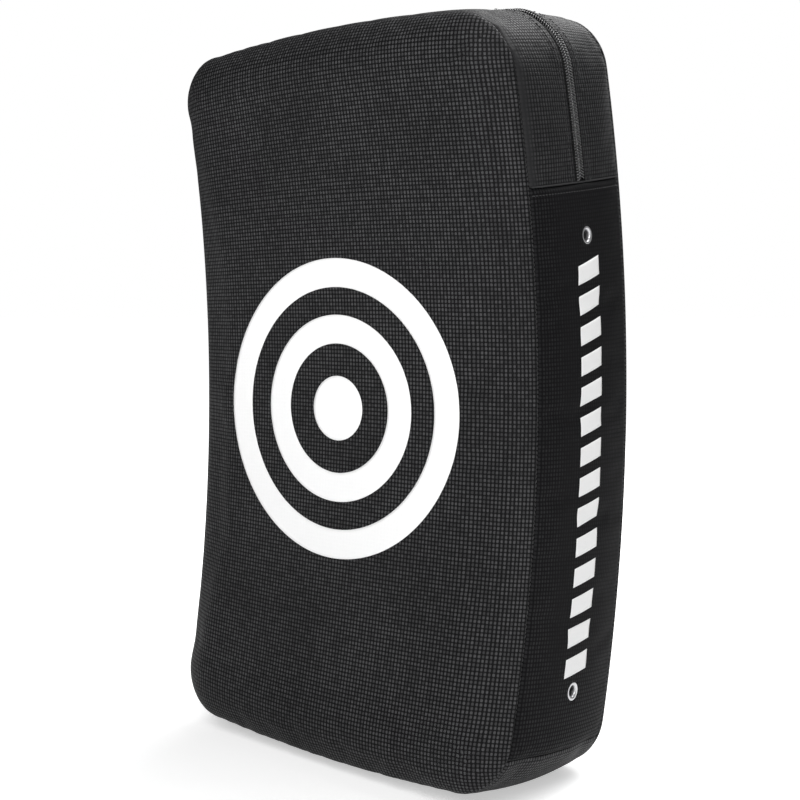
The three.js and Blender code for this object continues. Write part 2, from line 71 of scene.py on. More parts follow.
class Graph:
    """A material's node tree, with short calls that add its nodes and join them."""

    def __init__(self, name: str) -> None:
        """Starts an empty tree that ends in one Principled shader.

        Args:
            name: the material's name.
        """
        self.material = bpy.data.materials.new(name)
        self.material.use_nodes = True
        self.tree = self.material.node_tree
        self.tree.nodes.clear()
        self.shader = self.add("ShaderNodeBsdfPrincipled")
        output = self.add("ShaderNodeOutputMaterial")
        self.tree.links.new(self.shader.outputs["BSDF"], output.inputs["Surface"])

    def add(self, kind: str, **settings: object) -> bpy.types.Node:
        """Adds a node.

        Args:
            kind: Blender's name of the node type.
            settings: properties to set on it.

        Returns:
            The new node.
        """
        node = self.tree.nodes.new(kind)
        for key, value in settings.items():
            setattr(node, key, value)
        return node

    def join(self, value: object, socket: Socket) -> None:
        """Links an output to a socket, or sets the socket's own value.

        Args:
            value: an output socket, a number, or a colour.
            socket: the input that takes it.
        """
        if isinstance(value, bpy.types.NodeSocket):
            self.tree.links.new(value, socket)
        elif isinstance(value, tuple) and len(value) == 3 and socket.type == "RGBA":
            socket.default_value = (*value, 1.0)
        else:
            socket.default_value = value

    def math(self, operation: str, *values: Value) -> Socket:
        """Joins a Math node.

        Args:
            operation: its operation, such as "MULTIPLY".
            values: its inputs in order.

        Returns:
            Its output.
        """
        node = self.add("ShaderNodeMath", operation=operation)
        for value, socket in zip(values, node.inputs):
            self.join(value, socket)
        return node.outputs[0]

    def ramp(self, value: Value, start: float, end: float, low: float, high: float) -> Socket:
        """Maps a value smoothly from one range to another.

        Args:
            value: what is mapped.
            start: the input that gives `low`.
            end: the input that gives `high`.
            low: the output at `start`.
            high: the output at `end`.

        Returns:
            The mapped value.
        """
        node = self.add("ShaderNodeMapRange", interpolation_type="SMOOTHSTEP")
        for given, socket in zip((value, start, end, low, high), node.inputs):
            self.join(given, socket)
        return node.outputs[0]

    def noise(self, vector: Socket, scale: float, detail: float = 3.0) -> Socket:
        """Adds a noise texture.

        Args:
            vector: where it is read.
            scale: its features per metre.
            detail: how many finer layers it has.

        Returns:
            Its value from 0 to 1.
        """
        node = self.add("ShaderNodeTexNoise")
        for given, key in ((vector, "Vector"), (scale, "Scale"), (detail, "Detail")):
            self.join(given, node.inputs[key])
        return node.outputs["Fac"]

    def place(self) -> Socket:
        """The point's place on the object, in metres."""
        return self.add("ShaderNodeTexCoord").outputs["Object"]

    def cloth(self) -> tuple[Socket, Socket]:
        """The two cloth directions of a sewn piece, in metres across and along it."""
        split = self.add("ShaderNodeSeparateXYZ")
        self.join(self.add("ShaderNodeUVMap", uv_map=UV_NAME).outputs["UV"], split.inputs[0])
        return split.outputs[0], split.outputs[1]

    def mix(self, factor: Value, first: object, second: object) -> Socket:
        """Mixes two colours.

        Args:
            factor: 0 for the first, 1 for the second.
            first: a colour or a colour output.
            second: a colour or a colour output.

        Returns:
            The mixed colour.
        """
        node = self.add("ShaderNodeMix", data_type="RGBA")
        self.join(factor, node.inputs[0])
        self.join(first, node.inputs[6])
        self.join(second, node.inputs[7])
        return node.outputs[2]

    def bump(self, height: Socket, depth: float, under: Socket | None = None) -> Socket:
        """Turns a height into a normal.

        Args:
            height: from 0 to 1.
            depth: how far 1 stands out, in metres.
            under: a normal that it lies on.

        Returns:
            The bent normal.
        """
        node = self.add("ShaderNodeBump")
        self.join(height, node.inputs["Height"])
        self.join(depth, node.inputs["Distance"])
        if under is not None:
            self.join(under, node.inputs["Normal"])
        return node.outputs["Normal"]

    def dress(self, **sockets: object) -> bpy.types.Material:
        """Fills the shader's sockets.

        Args:
            sockets: values by socket name, with "_" for a space.

        Returns:
            The finished material.
        """
        for key, value in sockets.items():
            self.join(value, self.shader.inputs[key.replace("_", " ")])
        return self.material

    def studs(self, pitch: float) -> tuple[Socket, Socket]:
        """A square grid of rounded studs, as pressed into coated leather cloth.

        Args:
            pitch: from one stud to the next, in metres.

        Returns:
            The studs' height from 0 to 1, and a number of its own for each stud.
        """
        offsets, cells = [], []
        for direction, narrow in zip(self.cloth(), (1.12, 0.98)):
            place = self.math("DIVIDE", direction, pitch)
            cells.append(self.math("FLOOR", place))
            centred = self.math("SUBTRACT", self.math("FRACT", place), 0.5)
            reach = self.math("MULTIPLY", self.math("ABSOLUTE", centred), 2 * narrow)
            offsets.append(self.math("POWER", reach, 2.6))
        square = self.math("POWER", self.math("ADD", *offsets), 1 / 2.6)
        key = self.add("ShaderNodeCombineXYZ")
        for cell, socket in zip(cells, key.inputs):
            self.join(cell, socket)
        own = self.add("ShaderNodeTexWhiteNoise", noise_dimensions="2D")
        self.join(key.outputs[0], own.inputs["Vector"])
        return self.ramp(square, 0.98, 0.42, 0.0, 1.0), own.outputs["Value"]


@dataclass(frozen=True)
class LeatherCloth:
    """Coated leather cloth with a grid of pressed studs, worn a little shinier on top of them; the stud tops
    are painted lighter, a painted highlight, and the grooves between them darker, painted shade.
    """

    name: str
    # The grooves keep the dark ground colour and the stud tops take the lighter stud colour: painted shade
    # and painted highlight.
    ground: Colour = (0.0045, 0.0045, 0.0049)
    stud: Colour = (0.060, 0.060, 0.062)
    pitch: float = 3.3 * MM
    relief: float = 0.3 * MM
    roughness: float = 0.5
    shine: float = 0.08
    # Where the studs are pressed flat the cloth takes this even share of the stud colour, painted highlight
    # in place of the studs' own.
    flattened_highlight: float = 0.4

    def build(self) -> bpy.types.Material:
        """Makes the material."""
        graph = Graph(self.name)
        studs, own = graph.studs(self.pitch)
        held = graph.add("ShaderNodeAttribute", attribute_name=EMBOSS).outputs["Fac"]
        height = graph.math("MULTIPLY", studs, held)
        uneven = graph.ramp(own, 0.0, 1.0, 0.55, 1.0)
        place = graph.place()
        cloud = graph.ramp(graph.noise(place, 9.0), 0.3, 0.7, 0.8, 1.15)
        flattened_highlight = graph.math("MULTIPLY", graph.math("SUBTRACT", 1.0, held), self.flattened_highlight)
        # Stud tops lighter and grooves darker (painted highlight and painted shade), times slow random tone.
        painted_highlight_and_tone = graph.math("ADD", graph.math("MULTIPLY", height, uneven), flattened_highlight)
        painted_highlight_and_tone = graph.math("MULTIPLY", painted_highlight_and_tone, cloud)
        grain = graph.noise(place, 2600.0, 2.0)
        rough = graph.ramp(height, 0.0, 1.0, self.roughness + 0.1, self.roughness - 0.06)
        normal = graph.bump(grain, 0.035 * MM, graph.bump(height, self.relief))
        return graph.dress(
            Base_Color=graph.mix(painted_highlight_and_tone, self.ground, self.stud),
            Roughness=graph.math("ADD", rough, graph.ramp(grain, 0.2, 0.8, -0.05, 0.07)),
            Normal=normal,
            Specular_IOR_Level=self.shine,
        )


@dataclass(frozen=True)
class PrintInk:
    """Screen-printed ink, with the studs of the cloth showing faintly through it."""

    name: str
    colour: Colour
    pitch: float = 3.3 * MM

    def build(self) -> bpy.types.Material:
        """Makes the material."""
        graph = Graph(self.name)
        studs, own = graph.studs(self.pitch)
        place = graph.place()
        thin = graph.ramp(graph.noise(place, 420.0), 0.25, 0.75, 0.0, 0.06)
        worn = tuple(0.82 * part for part in self.colour)
        shade = graph.math("ADD", thin, graph.math("MULTIPLY", studs, 0.05))
        grain = graph.noise(place, 1800.0)
        return graph.dress(
            Base_Color=graph.mix(shade, self.colour, worn),
            Roughness=graph.ramp(own, 0.0, 1.0, 0.42, 0.5),
            Normal=graph.bump(grain, 0.02 * MM, graph.bump(studs, 0.06 * MM)),
            Specular_IOR_Level=0.35,
        )


@dataclass(frozen=True)
class Webbing:
    """Woven strap with a herringbone face, its grooves painted darker than its yarn: painted shade."""

    name: str
    thread: Colour = (0.016, 0.016, 0.017)
    # The grooves between the yarns take this darker colour, painted shade.
    groove: Colour = (0.0028, 0.0028, 0.003)
    rib: float = 4.2 * MM
    pick: float = 1.7 * MM
    relief: float = 0.6 * MM

    def build(self) -> bpy.types.Material:
        """Makes the material."""
        graph = Graph(self.name)
        across, along = graph.cloth()
        rib = graph.math("FRACT", graph.math("DIVIDE", across, self.rib))
        fold = graph.math("ABSOLUTE", graph.math("SUBTRACT", rib, 0.5))
        run = graph.math("DIVIDE", along, self.pick)
        slant = graph.math("FRACT", graph.math("ADD", run, graph.math("MULTIPLY", fold, 2.4)))
        yarn = graph.ramp(graph.math("ABSOLUTE", graph.math("SUBTRACT", slant, 0.5)), 0.5, 0.14, 0.0, 1.0)
        groove = graph.ramp(fold, 0.5, 0.4, 0.25, 1.0)
        height = graph.math("MULTIPLY", yarn, groove)
        place = graph.place()
        fuzz = graph.noise(place, 2400.0)
        # The yarn takes the thread colour and the grooves the darker groove colour (painted shade), times
        # slow random tone.
        tone = graph.math("MULTIPLY", height, graph.ramp(graph.noise(place, 60.0), 0.3, 0.7, 0.75, 1.0))
        return graph.dress(
            Base_Color=graph.mix(tone, self.groove, self.thread),
            Roughness=graph.ramp(fuzz, 0.2, 0.8, 0.72, 0.9),
            Normal=graph.bump(fuzz, 0.06 * MM, graph.bump(height, self.relief)),
            Specular_IOR_Level=0.3,
            Sheen_Weight=0.04,
        )


@dataclass(frozen=True)
class Speckle:
    """A plain finish broken up by fine grain and slow clouds, for thread, nylon, metal and foam."""

    name: str
    dark: Colour
    light: Colour
    roughness: float
    uneven: float = 0.1
    metal: float = 0.0
    grain: float = 900.0
    relief: float = 0.03 * MM
    shine: float = 0.5

    def build(self) -> bpy.types.Material:
        """Makes the material."""
        graph = Graph(self.name)
        place = graph.place()
        fine = graph.noise(place, self.grain)
        slow = graph.noise(place, self.grain / 12)
        specks = graph.ramp(fine, 0.3, 0.7, 0.4, 1.0)
        clouds = graph.ramp(slow, 0.3, 0.7, 0.5, 1.0)
        tone = graph.math("MULTIPLY", specks, clouds)
        rough = graph.ramp(fine, 0.25, 0.75, self.roughness - self.uneven, self.roughness + self.uneven)
        return graph.dress(
            Base_Color=graph.mix(tone, self.dark, self.light),
            Roughness=rough,
            Metallic=self.metal,
            Normal=graph.bump(fine, self.relief),
            Specular_IOR_Level=self.shine,
        )


class Finishes:
    """Every material of the shield, each made once."""

    def __init__(self) -> None:
        """Builds the materials."""
        self.cover = LeatherCloth("cover_leather").build()
        # The zip strips are cut from the cover cloth; this copy with darker studs is painted shade.
        self.strip_cover_painted_shade = LeatherCloth(
            "strip_leather_painted_shade", stud=(0.038, 0.038, 0.0395), shine=0.1, flattened_highlight=0.38
        ).build()
        # The side panels' cloth: a copy of the cover cloth with darker, lower studs and less shine, whose
        # darkness is painted shade.
        self.side_cover_painted_shade = LeatherCloth(
            "side_leather_painted_shade", stud=(0.019, 0.019, 0.02), relief=0.16 * MM, shine=0.03, flattened_highlight=0.2
        ).build()
        self.sleeve = LeatherCloth("sleeve_leather", pitch=2.2 * MM, relief=0.16 * MM).build()
        self.face_ink = PrintInk("white_ink", (0.9, 0.9, 0.9)).build()
        self.side_ink = PrintInk("grey_white_ink", (0.72, 0.72, 0.72)).build()
        self.webbing = Webbing("strap_webbing").build()
        # The zip tape's grooves take the darker second colour, painted shade as on the strap webbing.
        self.zip_tape = Webbing(
            "zip_tape_weave", (0.006, 0.006, 0.0065), (0.002, 0.002, 0.0022), 1.6 * MM, 0.8 * MM, 0.15 * MM
        ).build()
        self.coil = Speckle(
            "coil_nylon", (0.005, 0.005, 0.0055), (0.045, 0.045, 0.047), 0.24, shine=0.9
        ).build()
        self.thread = Speckle(
            "sewing_thread", (0.012, 0.012, 0.012), (0.045, 0.045, 0.047), 0.62, grain=2500.0, shine=0.3
        ).build()
        self.strap_thread = Speckle(
            "strap_thread", (0.05, 0.05, 0.05), (0.13, 0.13, 0.135), 0.6, grain=2500.0, shine=0.3
        ).build()
        self.nickel = Speckle(
            "nickel_plate", (0.46, 0.46, 0.47), (0.66, 0.66, 0.67), 0.42, 0.06, metal=1.0, grain=700.0,
            relief=0.006 * MM,
        ).build()
        self.zip_metal = Speckle(
            "black_zip_metal", (0.01, 0.01, 0.011), (0.045, 0.045, 0.047), 0.3, metal=0.6, shine=0.6
        ).build()
        foams = (
            Speckle("strike_foam", (0.02, 0.022, 0.026), (0.07, 0.075, 0.09), 0.9, 0.05),
            Speckle("core_foam", (0.4, 0.38, 0.33), (0.68, 0.65, 0.57), 0.9, 0.05),
            Speckle("back_foam", (0.14, 0.16, 0.18), (0.25, 0.28, 0.31), 0.9, 0.05),
        )
        self.foams = {foam.name: foam.build() for foam in foams}


# ---- meshes ------------------------------------------------------------------------


@dataclass
class Cloth:
    """A mesh before it is a piece: points, faces, the cloth's directions and its emboss."""

    points: np.ndarray
    faces: list[tuple[int, ...]]
    uvs: list[tuple[float, float]] | None = None
    emboss: np.ndarray | None = None

    def make(self, name: str) -> bpy.types.Object:
        """Makes a smooth-shaded object.

        Args:
            name: the piece's name.

        Returns:
            The new object, in the scene.
        """
        mesh = bpy.data.meshes.new(name)
        mesh.from_pydata([tuple(p) for p in self.points], [], self.faces)
        if self.uvs is not None:
            layer = mesh.uv_layers.new(name=UV_NAME)
            layer.data.foreach_set("uv", np.array(self.uvs, np.float32).ravel())
        if self.emboss is not None:
            held = mesh.attributes.new(EMBOSS, "FLOAT", "POINT")
            held.data.foreach_set("value", self.emboss.astype(np.float32))
        mesh.polygons.foreach_set("use_smooth", np.ones(len(self.faces), bool))
        mesh.update()
        piece = bpy.data.objects.new(name, mesh)
        bpy.context.scene.collection.objects.link(piece)
        return piece


def settle(piece: bpy.types.Object) -> bpy.types.Object:
    """Applies every modifier of a piece.

    Args:
        piece: the object.

    Returns:
        The same object with its final mesh.
    """
    graph = bpy.context.evaluated_depsgraph_get()
    seen = piece.evaluated_get(graph)
    mesh = bpy.data.meshes.new_from_object(seen, preserve_all_data_layers=True, depsgraph=graph)
    piece.modifiers.clear()
    old = piece.data
    piece.data = mesh
    bpy.data.meshes.remove(old)
    return piece


def smoothed(piece: bpy.types.Object, levels: int = 1, corners: bool = False) -> bpy.types.Object:
    """Subdivides a piece.

    Args:
        piece: the object.
        levels: how many times.
        corners: True to keep the corners of an open edge sharp.

    Returns:
        The same object with its final mesh.
    """
    finer = piece.modifiers.new("finer", "SUBSURF")
    finer.levels = finer.render_levels = levels
    finer.boundary_smooth = "PRESERVE_CORNERS" if corners else "ALL"
    finer.uv_smooth = "NONE"
    return settle(piece)


def thickened(piece: bpy.types.Object, thickness: float, offset: float = -1.0) -> bpy.types.Object:
    """Gives a sheet its thickness.

    Args:
        piece: the object.
        thickness: in metres.
        offset: -1 to grow inwards, 1 to grow outwards.

    Returns:
        The same object with its final mesh.
    """
    solid = piece.modifiers.new("thickness", "SOLIDIFY")
    solid.thickness = thickness
    solid.offset = offset
    solid.use_even_offset = False
    return settle(piece)


def points_of(mesh: bpy.types.Mesh) -> np.ndarray:
    """A mesh's points as an array, one row each."""
    flat = np.zeros(3 * len(mesh.vertices), np.float32)
    mesh.vertices.foreach_get("co", flat)
    return flat.reshape(-1, 3).astype(float)


def unit(vectors: np.ndarray) -> np.ndarray:
    """Vectors brought to length 1, along the last axis."""
    return vectors / np.maximum(np.linalg.norm(vectors, axis=-1, keepdims=True), 1e-12)


def normals_of(points: np.ndarray, faces: list[tuple[int, ...]]) -> np.ndarray:
    """The normal at every point of a mesh of quads, other faces being left out.

    Args:
        points: the mesh's points.
        faces: its faces.

    Returns:
        A unit vector for each point.
    """
    quads = np.array([face for face in faces if len(face) == 4])
    corners = points[quads]
    facing = np.cross(corners[:, 2] - corners[:, 0], corners[:, 3] - corners[:, 1])
    total = np.zeros_like(points)
    for k in range(4):
        np.add.at(total, quads[:, k], facing)
    return unit(total)


def grid_faces(rows: int, columns: int, closed: bool = False, start: int = 0) -> list[tuple[int, ...]]:
    """The quads of a grid of points, stored row by row.

    Args:
        rows: how many rows of points.
        columns: how many points in a row.
        closed: True where each row is a ring.
        start: number of the first point.

    Returns:
        The quads.
    """
    last = columns if closed else columns - 1
    faces = []
    for row in range(rows - 1):
        for column in range(last):
            beside = (column + 1) % columns
            low, high = start + row * columns, start + (row + 1) * columns
            faces.append((low + column, low + beside, high + beside, high + column))
    return faces


def tube(rings: np.ndarray, uvs: bool = True) -> Cloth:
    """A closed body lofted through rings of points, with flat ends.

    Args:
        rings: points as rings by points by 3, each ring turning the same way.
        uvs: True to lay the cloth's directions along it.

    Returns:
        The body.
    """
    count, around = rings.shape[:2]
    faces = grid_faces(count, around, closed=True)
    faces.append(tuple(range(around))[::-1])
    faces.append(tuple((count - 1) * around + k for k in range(around)))
    layout = None
    if uvs:
        steps = np.linalg.norm(np.diff(np.vstack([rings, rings[:1]]), axis=1), axis=2).mean(0)
        closing = np.linalg.norm(rings[:, 0] - rings[:, -1], axis=1).mean()
        turn = np.concatenate([[0], np.cumsum(steps), [steps.sum() + closing]])
        middles = rings.mean(1)
        travel = np.concatenate([[0], np.cumsum(np.linalg.norm(np.diff(middles, axis=0), axis=1))])
        layout = []
        for row in range(count - 1):
            for column in range(around):
                near, far = turn[column], turn[column + 1]
                low, high = travel[row], travel[row + 1]
                layout += [(near, low), (far, low), (far, high), (near, high)]
        for ring in (rings[0][::-1], rings[-1]):
            layout += [(point[0], point[2]) for point in ring]
    return Cloth(rings.reshape(-1, 3), faces, layout)


def facing_out(piece: bpy.types.Object) -> bpy.types.Object:
    """Turns a closed body inside out if its faces point inwards."""
    mesh = piece.data
    mesh.calc_loop_triangles()
    corners = np.zeros(3 * len(mesh.loop_triangles), np.int32)
    mesh.loop_triangles.foreach_get("vertices", corners)
    a, b, c = (points_of(mesh)[corners.reshape(-1, 3)[:, k]] for k in range(3))
    if np.einsum("ij,ij->i", a, np.cross(b, c)).sum() < 0:
        mesh.flip_normals()
    return piece


# ---- the stuffed pad's shape -------------------------------------------------------


@dataclass(frozen=True)
class PadShape:
    """The stuffed pad in metres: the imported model's outline, curve and crown, with a fuller upper back."""

    height: float = 600 * MM
    width: float = 363 * MM
    thickness: float = 134 * MM
    radius: float = 1292 * MM
    front_corner: float = 43 * MM
    back_corner: float = 35 * MM
    side_bow: float = 0.038
    end_bow: float = 0.035
    back_shortening: float = 0.06
    back_narrowing: float = 0.013
    front_crown: float = 21 * MM
    back_crown: float = 14 * MM
    crown_edge: float = 41 * MM
    gusset_bulge: float = 4.6 * MM
    top_fullness: float = 4.5 * MM
    middle: tuple[float, float, float] = (1.21 * MM, -85.437 * MM, 317.05 * MM)

    def half_sizes(self, share: np.ndarray) -> tuple[np.ndarray, np.ndarray]:
        """Half the width and half the height at a share of the depth from front to back."""
        wide = self.width / 2 * (1 - self.back_narrowing * share)
        return wide, self.height / 2 * (1 - self.back_shortening * share)

    def corner(self, share: np.ndarray) -> np.ndarray:
        """The outline's corner radius at a share of the depth."""
        return self.front_corner + (self.back_corner - self.front_corner) * np.clip(share, 0, 1)

    def bulge(self, share: np.ndarray) -> np.ndarray:
        """How far the sides stand out between the two seams at a share of the depth."""
        return self.gusset_bulge * (1 - (2 * np.clip(share, 0, 1) - 1) ** 2)

    def place(self, across: np.ndarray, height: np.ndarray, depth: np.ndarray) -> np.ndarray:
        """Bends flat coordinates round the shield's curve.

        Args:
            across: to the right of the middle.
            height: up along the curve from the middle.
            depth: behind the front seam.

        Returns:
            Points in the row frame, pressed flat where they would go through the floor.
        """
        across, height, depth = np.broadcast_arrays(across, height, depth)
        wide, tall = self.half_sizes(depth / self.thickness)
        x = across * (1 + self.side_bow * (1 - (height / tall) ** 2))
        arc = height * (1 + self.end_bow * (1 - np.minimum(1, (across / wide) ** 2)))
        upper_back = np.clip(height / tall, 0, 1) * np.clip(depth / self.thickness, 0, 1)
        arc = arc + self.top_fullness * upper_back**2
        reach = self.radius + depth
        y = reach * np.cos(arc / self.radius) - self.radius
        z = reach * np.sin(arc / self.radius)
        points = np.stack([x, y, z], -1) + np.array(self.middle)
        points[..., 2] = np.maximum(points[..., 2], 0)
        return points

    def strap_line(self, across: np.ndarray, height: np.ndarray, rise: np.ndarray) -> np.ndarray:
        """Points that stand `rise` off the back panel."""
        return self.place(across, height, self.thickness + self.back_crown + 0.6 * MM + rise)


class Panel(Enum):
    """The cover's cut pieces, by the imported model's node names."""

    FRONT = "front_panel"
    BACK = "back_panel"
    ZIP_FRONT = "zip_strip_front"
    ZIP_REAR = "zip_strip_rear"
    LEFT = "side_panel_left"
    RIGHT = "side_panel_right"
    BOTTOM = "bottom_panel"
    OPENING = "opening"


@dataclass(frozen=True)
class SeamLine:
    """A sewn seam's dent in the stuffed cover."""

    depth: float = 1.5 * MM
    spread: float = 2.6 * MM

    def dent(self, away: np.ndarray) -> np.ndarray:
        """How deep the cover lies at a distance from the seam."""
        return self.depth * np.exp(-((away / self.spread) ** 2))


class CoverGrid:
    """One closed grid of points over the whole pad, from which each panel is cut."""

    CORNER_BANDS = (1.0, 0.956, 0.889, 0.778, 0.667, 0.556, 0.485, 0.444, 0.403, 0.333, 0.222, 0.111)
    BOTTOM_SEAM_ROW = 7
    STEP = 6 * MM
    CROSS_SEAM = 167 * MM
    TOPSTITCH = 6.5 * MM
    LIP = 7.7 * MM
    EDGE_LINES = (0.0, 1.4, 3.2, 6.2)
    STILL_HEIGHT = 180 * MM

    def __init__(self, shape: PadShape) -> None:
        """Lays out the grid's lines and places its points.

        Args:
            shape: the pad's shape.
        """
        self.shape = shape
        self._lay_lines()
        self._number_points()
        self._place_points()
        self._list_faces()

    def _lay_lines(self) -> None:
        """Sets the grid's lines across, up and back, and each line's share of the corner."""
        wide, tall = self.shape.half_sizes(0.0)
        corner = self.shape.front_corner
        band = np.array(self.CORNER_BANDS)
        steps = len(band)
        reach = wide - corner
        middle = np.linspace(-reach, reach, round(2 * reach / self.STEP) + 1)
        self.across = np.concatenate([[-reach] * steps, middle, [reach] * steps])
        self.across_band = np.concatenate([band, 0 * middle, band[::-1]])
        seam, stitch = self.CROSS_SEAM, self.CROSS_SEAM - self.TOPSTITCH
        near = [stitch - 5 * MM, stitch - 2 * MM, stitch, stitch + 2 * MM, seam - 1.3 * MM]
        beyond = [seam, seam + 1.3 * MM, seam + 4.5 * MM]
        reach = tall - corner
        low = np.linspace(-reach, near[0] - self.STEP, round((reach + near[0]) / self.STEP))
        high = np.linspace(beyond[-1] + self.STEP, reach, round((reach - beyond[-1]) / self.STEP))
        middle = np.concatenate([low, near, beyond, high])
        self.up = np.concatenate([[-reach] * steps, middle, [reach] * steps])
        self.up_band = np.concatenate([band, 0 * middle, band[::-1]])
        half = self.shape.thickness / 2
        side = np.concatenate([np.array(self.EDGE_LINES) * MM, np.linspace(10.5 * MM, half - self.LIP, 9)])
        self.lip_steps = len(side) - 1
        opening = np.linspace(half - self.LIP, half + self.LIP, 4)[1:-1]
        self.back = np.concatenate([side, opening, 2 * half - side[::-1]])

    def _number_points(self) -> None:
        """Numbers the front's points, the back's points, and the rings between them."""
        columns, rows = len(self.across), len(self.up)
        i, j = columns - 1, rows - 1
        ring = [(k, 0) for k in range(i)] + [(i, k) for k in range(j)]
        ring += [(k, j) for k in range(i, 0, -1)] + [(0, k) for k in range(j, 0, -1)]
        self.ring = np.array(ring)
        self.columns, self.rows, self.depths = columns, rows, len(self.back)
        face = columns * rows
        self.front_ids = np.arange(face).reshape(columns, rows)
        self.back_ids = self.front_ids + face
        inner = np.arange(len(ring) * (self.depths - 2)).reshape(len(ring), -1) + 2 * face
        first = self.front_ids[self.ring[:, 0], self.ring[:, 1]][:, None]
        last = self.back_ids[self.ring[:, 0], self.ring[:, 1]][:, None]
        self.ring_ids = np.concatenate([first, inner, last], axis=1)

    def flat(self, column: np.ndarray, row: np.ndarray, share: np.ndarray) -> tuple[np.ndarray, ...]:
        """Flat coordinates of grid lines' crossings.

        Args:
            column: index of the line across.
            row: index of the line up.
            share: of the depth from front to back.

        Returns:
            Across, height, and the distance from the outline.
        """
        a, b = self.across_band[column], self.up_band[row]
        most = np.maximum(a, b)
        least = np.minimum(a, b) / np.maximum(most, 1e-9)
        turn = np.where(a >= b, least * math.pi / 4, math.pi / 2 - least * math.pi / 4)
        wide, tall = self.shape.half_sizes(share)
        corner = self.shape.corner(share)
        out = np.sin(most * math.pi / 2)
        reach = (corner + self.shape.bulge(share)) * out
        front_wide, front_tall = (half - self.shape.front_corner for half in self.shape.half_sizes(0.0))
        across = self.across[column] * (wide - corner) / front_wide
        height, still = self.up[row], self.STILL_HEIGHT
        stretch = (tall - corner - still) / (front_tall - still)
        moved = np.sign(height) * (still + (np.abs(height) - still) * stretch)
        height = np.where(np.abs(height) > still, moved, height)
        across = across + np.sign(self.across[column]) * reach * np.cos(turn)
        height = height + np.sign(self.up[row]) * reach * np.sin(turn)
        return across, height, corner * (1 - out)

    def _cloth_places(
        self, column: np.ndarray, row: np.ndarray, share: float, edge: float, crown: float
    ) -> np.ndarray:
        """Where the crossings of a face lie on its flat cloth, before it is bent over the crown.

        Args:
            column: index of the line across.
            row: index of the line up.
            share: 0 for the front, 1 for the back.
            edge: width of the crown's rounded edge.
            crown: how far it rises.

        Returns:
            Places across and up the cloth.
        """
        turn = np.linspace(0, math.pi / 2, 200)
        pace = np.sqrt((edge * np.sin(turn)) ** 2 + (crown * np.cos(turn)) ** 2) * (turn[1] - turn[0])
        run = np.concatenate([[0], np.cumsum((pace[1:] + pace[:-1]) / 2)])
        across, height, inset = self.flat(column, row, np.float64(share))
        slack = np.interp(np.minimum(inset, edge), edge * (1 - np.cos(turn)), run[-1] - run)
        grown = slack - np.maximum(edge - inset, 0)
        a, b = self.across_band[column], self.up_band[row]
        most = np.maximum(np.maximum(a, b), 1e-9)
        turned = np.where(a >= b, b / most, 2 - a / most) * math.pi / 4
        inside = np.maximum(a, b) <= 0
        push = np.where(inside, 0, grown)
        u = across + np.sign(self.across[column]) * push * np.where(a > 0, np.cos(turned), 0)
        v = height + np.sign(self.up[row]) * push * np.where(b > 0, np.sin(turned), 0)
        return np.stack([u, v], -1)

    def _place_points(self) -> None:
        """Places every point and notes its distance from the nearest face seam."""
        shape = self.shape
        total = int(self.ring_ids[:, 1:-1].max()) + 1
        self.points = np.zeros((total, 3))
        self.away = np.zeros(total)
        columns, rows = np.meshgrid(np.arange(self.columns), np.arange(self.rows), indexing="ij")
        self.face_uvs = []
        sheets = ((self.front_ids, 0.0, -shape.front_crown), (self.back_ids, 1.0, shape.back_crown))
        for ids, share, crown in sheets:
            across, height, inset = self.flat(columns, rows, np.float64(share))
            edge = shape.crown_edge if share == 0 else shape.back_corner - 1 * MM
            rise = np.sqrt(1 - (1 - np.minimum(inset / edge, 1)) ** 2)
            self.points[ids] = shape.place(across, height, share * shape.thickness + crown * rise)
            self.away[ids] = inset + abs(crown) * rise
            self.face_uvs.append(self._cloth_places(columns, rows, share, edge, abs(crown)))
        share = self.back[1:-1] / shape.thickness
        column, row = self.ring[:, 0][:, None], self.ring[:, 1][:, None]
        across, height, _ = self.flat(column, row, share[None, :])
        self.points[self.ring_ids[:, 1:-1]] = shape.place(across, height, self.back[None, 1:-1])
        self.away[self.ring_ids[:, 1:-1]] = np.minimum(self.back, shape.thickness - self.back)[None, 1:-1]
        steps = np.linalg.norm(np.diff(self.points[self.ring_ids[:, self.depths // 2]], axis=0), axis=1)
        self.travel = np.concatenate([[0], np.cumsum(steps), [steps.sum() + steps[-1]]])

    def _station_panel(self, station: int) -> list[Panel]:
        """The panels over one step of the ring, from the front seam to the back seam.

        Args:
            station: the step's number.

        Returns:
            A panel for each step of depth.
        """
        column, row = self.ring[station]
        beside = self.ring[(station + 1) % len(self.ring)]
        rows = sorted((row, beside[1]))
        on_side = column == beside[0] and rows[0] >= self.BOTTOM_SEAM_ROW
        seam_row = self.row_at(self.CROSS_SEAM)
        if on_side and rows[1] <= seam_row:
            panel = Panel.RIGHT if column else Panel.LEFT
            return [panel] * (self.depths - 1)
        if (on_side and rows[0] >= seam_row) or rows[0] == self.rows - 1:
            lips = self.lip_steps
            gap = self.depths - 1 - 2 * lips
            return [Panel.ZIP_FRONT] * lips + [Panel.OPENING] * gap + [Panel.ZIP_REAR] * lips
        return [Panel.BOTTOM] * (self.depths - 1)

    def row_at(self, height: float) -> int:
        """The number of the grid's row at a height along the curve."""
        return int(np.argmin(np.abs(self.up - height)))

    def station_at(self, hand: Hand, row: int) -> int:
        """The ring's station on one side, at a row of the grid."""
        right = self.columns - 1 + row
        return right if hand is Hand.RIGHT else 2 * (self.columns + self.rows - 2) - row

    def zip_stations(self) -> np.ndarray:
        """The ring's stations from the right cross seam, over the top, to the left one."""
        row = self.row_at(self.CROSS_SEAM)
        return np.arange(self.station_at(Hand.RIGHT, row), self.station_at(Hand.LEFT, row) + 1)

